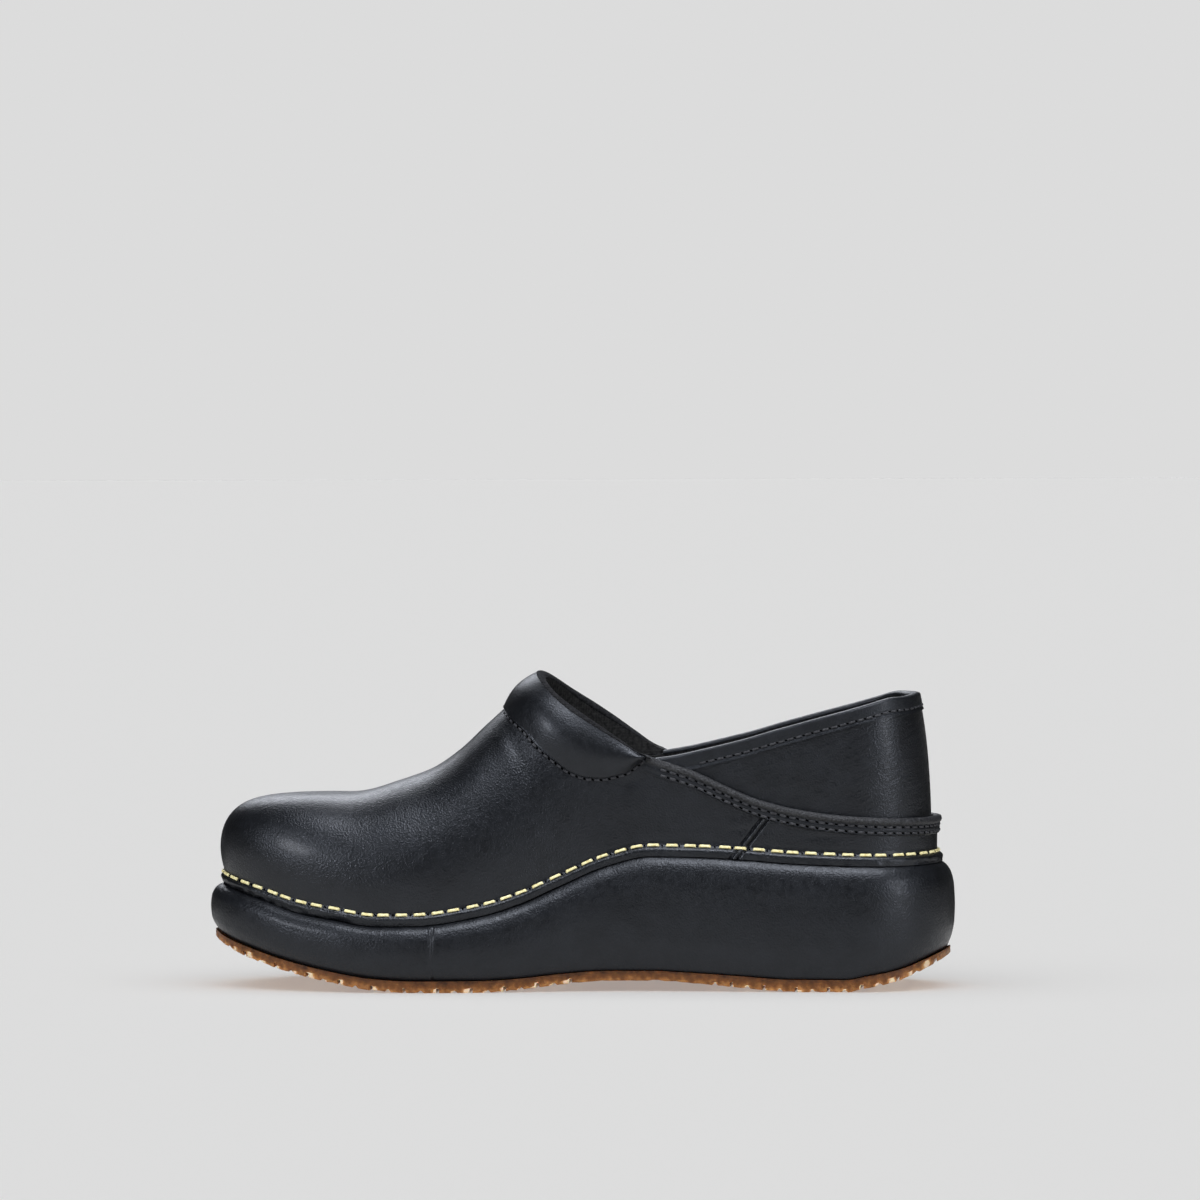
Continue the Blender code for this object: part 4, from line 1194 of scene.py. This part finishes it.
def stitch_row(name, path, normals, finish, pitch, size, wander=0.0, sides=8, steps=9):
    """Short flat-topped threads along a path. size: visible length, width and height."""
    length, width, tall = size
    way = way_along(path)
    count = int(way[-1] / pitch)
    starts = (np.arange(count) + 0.25) * way[-1] / count
    starts = starts + wander * np.random.default_rng(count).uniform(-1, 1, count)
    t = np.linspace(0, 1, steps)
    at = starts[:, None] + length * t
    centre = spots_at(path, way, at)
    normal = spots_at(normals, way, at)
    along = unit(np.gradient(centre, axis=1))
    across = np.cross(along, normal)
    arch = 1 - np.abs(2 * t - 1) ** 12
    centre = centre + normal * ((arch - 0.75) * tall)[None, :, None]
    around = np.linspace(0, 2 * math.pi, sides, endpoint=False)
    ply = 1 + 0.05 * np.cos(2 * around[None, :] - 9 * t[:, None])
    thick = (0.84 + 0.16 * np.sqrt(arch))[:, None] * ply
    square = (np.abs(np.cos(around)) ** 3.2 + np.abs(np.sin(around)) ** 3.2) ** (-1 / 3.2)
    ring = (
        across[:, :, None] * (0.5 * width * thick * square * np.cos(around))[None, ..., None]
        + normal[:, :, None] * (0.5 * tall * thick * square * np.sin(around))[None, ..., None]
    )
    points = (centre[:, :, None] + ring).reshape(-1, 3)
    i = np.arange(steps - 1)[:, None] * sides
    j = np.arange(sides)[None, :]
    one = np.stack([i + j, i + (j + 1) % sides, i + sides + (j + 1) % sides, i + sides + j], -1)
    ends = [np.arange(sides)[::-1], (steps - 1) * sides + np.arange(sides)]
    faces = []
    for k in range(count):
        base = k * steps * sides
        faces += list(base + one.reshape(-1, 4))
        faces += [base + end for end in ends]
    print(f"{name}: {count} stitches")
    return piece(name, points, faces, finish)


SLANT_ANGLE = math.radians(32)
SLANT = (math.cos(SLANT_ANGLE), math.sin(SLANT_ANGLE))


def painted_hole_shade(name, path, normals, pitch, size, sides=10):
    """Painted shade of the needle holes between the threads of a row: low black ovals that lie aslant, size wide."""
    way = way_along(path)
    count = int(way[-1] / pitch)
    at = (np.arange(count) + 0.12) * way[-1] / count
    spot = spots_at(path, way, at)
    normal = spots_at(normals, way, at)
    along = unit(spots_at(path, way, at + 0.1 * MM) - spot)
    across = np.cross(along, normal)
    around = np.linspace(0, 2 * math.pi, sides, endpoint=False)
    wide, narrow = 0.62 * np.cos(around), 0.36 * np.sin(around)
    circle = (along[:, None] * (SLANT[0] * wide - SLANT[1] * narrow)[None, :, None]
              + across[:, None] * (SLANT[1] * wide + SLANT[0] * narrow)[None, :, None]) * size
    low = spot[:, None] + circle - normal[:, None] * 0.3 * MM
    high = spot[:, None] + circle * 0.8 + normal[:, None] * 0.14 * MM
    points = np.concatenate([low, high], axis=1).reshape(-1, 3)
    j = np.arange(sides)
    wall = np.stack([j, (j + 1) % sides, sides + (j + 1) % sides, sides + j], -1)
    faces = []
    for k in range(count):
        base = 2 * sides * k
        faces += list(base + wall[:, ::-1])
        faces += [base + j, base + sides + j[::-1]]
    return piece(name, points, faces, hole_shade_paint)


ring_line = np.linspace(0.02, 6.02, 1500)
welt_path, welt_normals = on_skin(ring_line, WELT_LINE, -0.6 * GROOVE_DEPTH)
welt = stitch_row("welt_stitches", welt_path, welt_normals, cream_thread, 6.45 * MM,
                  (4.5 * MM, 1.08 * MM, 0.70 * MM), wander=0.55 * MM, sides=16, steps=17)
dress(welt, "black_leather")
# Black ovals of painted shade mark the needle holes.
welt_hole_shade = painted_hole_shade("welt_hole_shade", welt_path, welt_normals, 6.45 * MM, 0.75 * MM)
dress(welt_hole_shade, "black_leather")

# %% [markdown]
# ## Lining and footbed
# Inside, a thin woven lining covers the leather up to the opening, and a footbed lies on the platform.
# Both are seen through the opening only, so they need their form but few folds.

# %% Lining
LINING_OUT = 1.4 * MM
LINING_IN = 2.0 * MM
lining_ring = both_sides(half_ring[::2] if len(half_ring) % 2 else np.append(half_ring[:-1:2], 3.0))
lining_angles = upper_columns(lining_ring, [1.0 * MM, MARGIN_HEIGHT], 26)
lining_rings = np.repeat(lining_ring[:, None], lining_angles.shape[1], axis=1)
hung = 0.05 * MM * rough(last(lining_rings, lining_angles), 7 * MM, 9)
cloth_out = skin(lining_rings, lining_angles, np.full(lining_angles.shape, -LINING_OUT))
cloth_in = skin(lining_rings, lining_angles, hung - LINING_IN)
lining = walled("woven_upper_lining", cloth_out, cloth_in, lining_cloth, closed=True)
dress(lining, "lining")

# %% Footbed
FOOTBED_INSET = MARGIN + UPPER_WALL + 2 * GAP
ACROSS_STEPS = 22
bed_half = half_ring[::2]
near_edge = grown(bed_half, -FOOTBED_INSET * np.ones_like(bed_half))
far_edge = grown(6 - bed_half, -FOOTBED_INSET * np.ones_like(bed_half))
share = 0.5 - 0.5 * np.cos(np.linspace(0, math.pi, ACROSS_STEPS))
plan = near_edge[:, None] + (far_edge - near_edge)[:, None] * share[None, :, None]
bed_base = feather(plan[..., 0]) + 2 * GAP
cupped = 0.9 * MM * (2 * share - 1) ** 4 * ease((share_of(plan[..., 0]) - 0.0) * 8)
rounded = 0.8 * MM * (np.abs(2 * share - 1) > 0.999)
top_face = np.concatenate([plan, (bed_base + INSOLE - 0.4 * MM + cupped - rounded)[..., None]], axis=-1)
low_face = np.concatenate([plan, bed_base[..., None]], axis=-1)
footbed = walled("footbed", low_face, top_face, footbed_leather)
dress(footbed, "lining", "insole")

# %% [markdown]
# ## The counter
# The stiff cup behind the heel stands up inside the topline, with leather outside and lining inside.
# A strip folded over its edge hides the layers. The cup's hollow back and the strip's rounded fold
# catch the light, so both follow the last and the strip turns over the edge in a half circle.

# %% Counter
COUNTER_LIFT = -(UPPER_WALL + GAP)
COUNTER_LEATHER = 2.4 * MM
RIM_DROP = 1.1 * MM


def counter_top(ring):
    """Height of the counter's edge over the feather, a little lower on the inner side."""
    way = np.mod(ring, 6)
    inner = (way < 3) * ease(way / 0.55) * ease((ring_at(place(COUNTER_FRONT)) - way) / 0.12)
    return rise_of(COUNTER_TOP, COUNTER_HEIGHT, ring) - RIM_DROP * inner


def heel_shell(name, rings, low, high, outer_lift, inner_lift, rows, finish, folds=0.0):
    """A shell round the heel between two heights and two depths under the last."""
    share = np.linspace(0, 1, rows)
    rises = low[:, None] + (high - low)[:, None] * share
    grid = np.repeat(rings[:, None], rows, axis=1)
    angles = lean(grid, rises)
    soft = folds * rough(last(grid, angles) * [1.0, 1.0, 0.45], 9 * MM, 11)
    out = skin(grid, angles, outer_lift + soft)
    core = skin(grid, angles, np.full(grid.shape, inner_lift))
    return walled(name, out, core, finish)


counter_rings = round_heel(ring_at(place(COUNTER_FRONT)))
foot_of_counter = np.full(len(counter_rings), MARGIN_HEIGHT + 2 * GAP)
cup_top = counter_top(counter_rings) - 1.0 * MM
counter = heel_shell("heel_counter", counter_rings, foot_of_counter, cup_top, COUNTER_LIFT,
                     COUNTER_LIFT - COUNTER_LEATHER, 50, counter_leather, folds=0.12 * MM)
dress(counter, "black_leather", "counter")
cup_lining = heel_shell("counter_lining", counter_rings, foot_of_counter, cup_top,
                        COUNTER_LIFT - COUNTER_LEATHER - 0.1 * MM, COUNTER_LIFT - COUNTER_WALL, 26, lining_cloth)
dress(cup_lining, "lining")

# %% Counter binding
BINDING_WIDTH = 6.4 * MM
BINDING_THICK = 0.9 * MM
BINDING_ROW = 4.7 * MM
FOLD_START = 0.8 * MM
FOLD_RISE = 1.2 * MM
BINDING_OUT = COUNTER_LIFT + 0.55 * MM
BINDING_IN = COUNTER_LIFT - COUNTER_WALL - 0.55 * MM


def folded_strip(rings, top, outer_width, inner_width):
    """Columns of a strip folded over an edge: up the outside, over in a flat round, down the inside."""
    half = (BINDING_OUT - BINDING_IN) / 2
    middle = (BINDING_OUT + BINDING_IN) / 2
    turn = np.linspace(0, math.pi, 13)
    round_part = [(FOLD_START - FOLD_RISE * math.sin(a), middle + half * math.cos(a)) for a in turn]
    columns = []
    for ring, edge, wide, deep in zip(rings, top, outer_width, inner_width):
        leg = np.linspace(1, 0, 15)[:-1]
        dip = 0.22 * MM * np.exp(-(((leg * wide - BINDING_ROW) / (0.6 * MM)) ** 2))
        dip -= 0.20 * MM * np.exp(-(((wide - leg * wide) / (0.7 * MM)) ** 2))
        outside_leg = [(FOLD_START + (wide - FOLD_START) * s, BINDING_OUT - d) for s, d in zip(leg, dip)]
        inside_leg = [(FOLD_START + (deep - FOLD_START) * s, BINDING_IN) for s in leg[::-1]]
        outer_path = outside_leg + round_part + inside_leg
        core = [(deep, BINDING_IN + 0.5 * BINDING_THICK), (FOLD_START, BINDING_IN + 0.5 * BINDING_THICK),
                (FOLD_START, BINDING_OUT - 0.5 * BINDING_THICK), (wide, BINDING_OUT - 0.5 * BINDING_THICK)]
        path = np.array(outer_path + core)
        grid = np.full(len(path), ring)
        columns.append(skin(grid, lean(grid, edge - path[:, 0]), path[:, 1]))
    return columns


binding_front = ring_at(place(0.400))
binding_rings = round_heel(binding_front)
binding_top = counter_top(binding_rings)
room_above = binding_top - topline(binding_rings) - 0.2 * MM
strip_width = np.clip(np.minimum(BINDING_WIDTH, room_above), FOLD_START + 1.1 * MM, None)
binding = ring_shell("counter_binding_strip",
                     folded_strip(binding_rings, binding_top, strip_width, np.full_like(strip_width, FOLD_START + 0.3 * MM)),
                     binding_leather, False)
dress(binding, "binding_leather", "counter_binding")
row_rings = np.linspace(6 - ring_at(place(0.335)), 6 + ring_at(place(0.335)), 700)
row_path, row_normals = on_skin(row_rings, counter_top(row_rings) - BINDING_ROW, BINDING_OUT - 0.12 * MM)
binding_row = stitch_row("binding_stitches", row_path, row_normals, black_thread, 3.3 * MM,
                         (2.5 * MM, 0.75 * MM, 0.50 * MM), sides=8, steps=9)
dress(binding_row, "binding_leather")
# Painted shade in the needle holes.
binding_hole_shade = painted_hole_shade("binding_hole_shade", row_path, row_normals, 3.3 * MM, 0.8 * MM)
dress(binding_hole_shade, "binding_leather")

# %% [markdown]
# ## Topline band
# Along the edge of the heel strip lies a narrow band, stitched twice, with a thick rolled cord along
# its top that stands out at the back of the heel. Its section is drawn once, as distances down from
# the edge and out from the leather, and swept round the heel.

# %% Topline band
BAND_RISE = 0.4 * MM
BAND_SECTION = [
    (6.75, 0.02), (6.70, 0.55), (6.40, 0.82), (6.05, 0.70), (5.70, 0.48), (5.35, 0.74), (4.60, 0.95),
    (3.85, 0.76), (3.50, 0.50), (3.15, 0.78), (2.60, 1.00), (2.00, 0.80), (1.80, 0.10), (4.50, -0.10),
]
PIPING_CENTRE = (1.60, 0.00)
PIPING_RADII = (1.50, 1.65)
BAND_ROWS = (5.70 * MM, 3.50 * MM)

band_rings = round_heel(ring_at(place(BAND_FRONT)))


def band_taper(rings):
    """The band thins out towards its two ends."""
    near_end = np.minimum(rings - band_rings[0], band_rings[-1] - rings)
    return 0.45 + 0.55 * ease(near_end / 0.12)


def swept_round_heel(name, rings, section, finish, crinkle=0.0, crinkle_size=MM):
    """A section of down and out distances in millimetres, swept along the topline."""
    section = np.array(section) * MM
    grid = np.repeat(rings[:, None], len(section), axis=1)
    rise = topline(grid) + BAND_RISE - section[None, :, 0]
    angles = lean(grid, rise)
    lift = section[None, :, 1] * band_taper(rings)[:, None] + crinkle * rough(skin(grid, angles, section[None, :, 1] * np.ones(grid.shape)),
                                                 crinkle_size, 13)
    return ring_shell(name, skin(grid, angles, lift), finish, False)


band = swept_round_heel("topline_facing", band_rings, BAND_SECTION, binding_leather, 0.06 * MM, 2 * MM)
dress(band, "binding_leather", "topline_band")
turns = np.linspace(0, 2 * math.pi, 18, endpoint=False)
piping_section = [(PIPING_CENTRE[0] + PIPING_RADII[0] * math.cos(a), PIPING_CENTRE[1] + PIPING_RADII[1] * math.sin(a))
                  for a in turns]
piping = swept_round_heel("topline_piping", band_rings, piping_section, crumbly_leather, 0.30 * MM, 1.6 * MM)
dress(piping, "binding_leather")
TONAL_PITCH = 3.6 * MM
for number, down in enumerate(BAND_ROWS):
    rings = np.linspace(band_rings[0] + 0.03, band_rings[-1] - 0.03, 900)
    path, normals = on_skin(rings, topline(rings) + BAND_RISE - down, 0.66 * MM * band_taper(rings))
    row = stitch_row(f"band_stitches_{number}", path, normals, black_thread, TONAL_PITCH,
                     (2.6 * MM, 0.95 * MM, 0.60 * MM), sides=8, steps=9)
    dress(row, "binding_leather")
    # Painted shade in the needle holes.
    holes = painted_hole_shade(f"band_hole_shade_{number}", path, normals, TONAL_PITCH, 1.05 * MM)
    dress(holes, "binding_leather")

# %% [markdown]
# ## The padded collar
# A saddle of soft leather over foam, from its seam on the instep to the throat. It is thin at the seam
# and fat in the middle. The mesh starts with that rule, a little too thin. A cloth simulation then
# presses its outer face out between the stitched edges, which rounds it the way a real filling does.
# Only the outer face is simulated, because the pad is too thin for a remeshed block.

# %% Padded collar
PAD_GAP = 0.4 * MM
PAD_EDGE = 0.5 * MM
PAD_RIM = 1.6 * MM
PAD_PUFF = 2.9 * MM
PAD_ROWS = 26
PAD_BLOWN = 0.9 * MM
PRESSURE = 120.0
VERTEX_MASS = 0.003


def blown(grid, pinned):
    """The grid after a cloth simulation has pressed it out between its pinned points."""
    index = np.arange(grid.shape[0] * grid.shape[1]).reshape(grid.shape[:2])
    faces = np.stack([index[:-1, :-1], index[:-1, 1:], index[1:, 1:], index[1:, :-1]], -1).reshape(-1, 4)
    mesh = bpy.data.meshes.new("panel")
    mesh.from_pydata(grid.reshape(-1, 3).tolist(), [], faces.tolist())
    panel = bpy.data.objects.new("panel", mesh)
    bpy.context.scene.collection.objects.link(panel)
    panel.vertex_groups.new(name="stitched").add(index[pinned].tolist(), 1.0, "REPLACE")
    filling = panel.modifiers.new("filling", "CLOTH").settings
    filling.vertex_group_mass = "stitched"
    filling.mass = VERTEX_MASS
    filling.use_pressure = True
    filling.uniform_pressure_force = PRESSURE
    filling.effector_weights.gravity = 0.0
    for frame in range(1, 21):
        bpy.context.scene.frame_set(frame)
    shaped = panel.evaluated_get(bpy.context.evaluated_depsgraph_get()).to_mesh()
    move = np.array([vertex.co[:] for vertex in shaped.vertices]).reshape(grid.shape) - grid
    bpy.data.objects.remove(panel)
    bpy.context.scene.frame_set(1)
    furthest = float(np.linalg.norm(move, axis=-1).max())
    print("the filling pressed the collar out by up to", round(furthest / MM, 2), "mm")
    return grid + move * min(1.0, PAD_BLOWN / max(furthest, 1e-9))


def distance_to(points, line):
    """Distance in the side view from each point to a line."""
    flat = points[..., [0, 2]].reshape(-1, 2)
    gaps = np.linalg.norm(flat[:, None] - line[None], axis=2).min(axis=1)
    return gaps.reshape(points.shape[:-1])


pad_start, pad_end = ring_at(place(PAD_SEAM[0]["at"])), ring_at(place(PAD_FRONT))
pad_inner = half_ring[(half_ring > pad_start) & (half_ring < pad_end)]
nose = pad_end - (pad_end - pad_inner[-1]) * np.array([0.5, 0.22, 0.08, 0.02, 0.0])
pad_inner = np.concatenate([[pad_start], pad_inner, nose])
pad_ring = np.concatenate([pad_inner, 6 - pad_inner[::-1]])
pad_top = top_angle(pad_ring)
pad_low = np.minimum(lean(pad_ring, rise_of(PAD_SEAM, INSTEP_HEIGHT, pad_ring)), pad_top - 0.02)
pad_share = 0.5 - 0.5 * np.cos(np.linspace(0, math.pi, PAD_ROWS))
pad_angles = pad_low[:, None] + (pad_top - pad_low)[:, None] * pad_share
pad_grid = np.repeat(pad_ring[:, None], PAD_ROWS, axis=1)
pad_flat = last(pad_grid, pad_angles)
to_seam = distance_to(pad_flat, side_line(PAD_SEAM, PAD_FRONT))
to_rim = distance_to(pad_flat, side_line(TOPLINE, THROAT_AT))
q = to_seam / np.maximum(to_seam + to_rim, 1e-6)
puff = PAD_PUFF - 0.6 * PAD_BLOWN
plump = PAD_EDGE + (PAD_RIM - PAD_EDGE) * q + puff * np.sin(math.pi * q)
pad_out = skin(pad_grid, pad_angles, PAD_GAP + plump)
pad_out = blown(pad_out, np.minimum(to_seam, to_rim) < 1.5 * MM)
pad_in = skin(pad_grid, pad_angles, np.full(pad_grid.shape, PAD_GAP))
collar = walled("padded_instep_collar", pad_out, pad_in, pad_leather)
dress(collar, "padded_leather", "instep_collar")

# %% Collar stitches
seam_inner = np.linspace(pad_start, pad_end, 500)[:-1]
seam_ring = np.concatenate([seam_inner, 6 - seam_inner[::-1]])
seam_rise = rise_of(PAD_SEAM, INSTEP_HEIGHT, seam_ring) - 0.9 * MM
seam_path, seam_normals = on_skin(seam_ring, seam_rise, 0.05 * MM)
collar_row = stitch_row("collar_stitches", seam_path, seam_normals, black_thread, 3.0 * MM,
                        (2.2 * MM, 0.85 * MM, 0.6 * MM), sides=8, steps=9)
dress(collar_row, "padded_leather")
# Painted shade in the needle holes.
collar_hole_shade = painted_hole_shade("collar_hole_shade", seam_path, seam_normals, 3.0 * MM, 1.05 * MM)
dress(collar_hole_shade, "padded_leather")

# %% Rolled edge of the throat
ROLL_ALONG = 0.95 * MM
ROLL_ACROSS = 2.15 * MM
roll_inner = np.concatenate([np.linspace(pad_start - 0.01, behind_throat[0], 60)[:-1], behind_throat, [THROAT]])
roll_ring = np.concatenate([roll_inner, 6 - roll_inner[-2::-1]])
roll_angle = top_angle(roll_ring)
roll_path = skin(roll_ring, roll_angle)
roll_out = unit(skin(roll_ring, roll_angle, np.full(len(roll_ring), MM)) - roll_path)
roll_up = unit(np.cross(np.gradient(roll_path, axis=0), roll_out))
around = np.linspace(0, 2 * math.pi, 20, endpoint=False)[None, :, None]
centre = roll_path + 0.1 * MM * roll_out + 0.1 * MM * roll_up
way = np.minimum(roll_ring, 6 - roll_ring)
fade = ease((way - roll_inner[0]) / 0.16)[:, None]
outer = (np.where(roll_ring > 3, 0.55, 0.40) * MM * ease((THROAT - way) / 0.08))[:, None] * fade
tall = (ROLL_ALONG * (0.35 + 0.65 * fade) + outer)[:, None]
centre = centre + roll_up * (outer - 0.5 * MM * (1 - fade))
roll_columns = (centre[:, None] + roll_out[:, None] * ROLL_ACROSS * np.sin(around)
                - roll_up[:, None] * tall * np.cos(around))
roll = ring_shell("throat_roll", roll_columns, edge_tape, False)
dress(roll, "lining")

# %% [markdown]
# The last cell updates the scene, so that every piece stands where it was put.

# %% The end
bpy.context.view_layer.update()
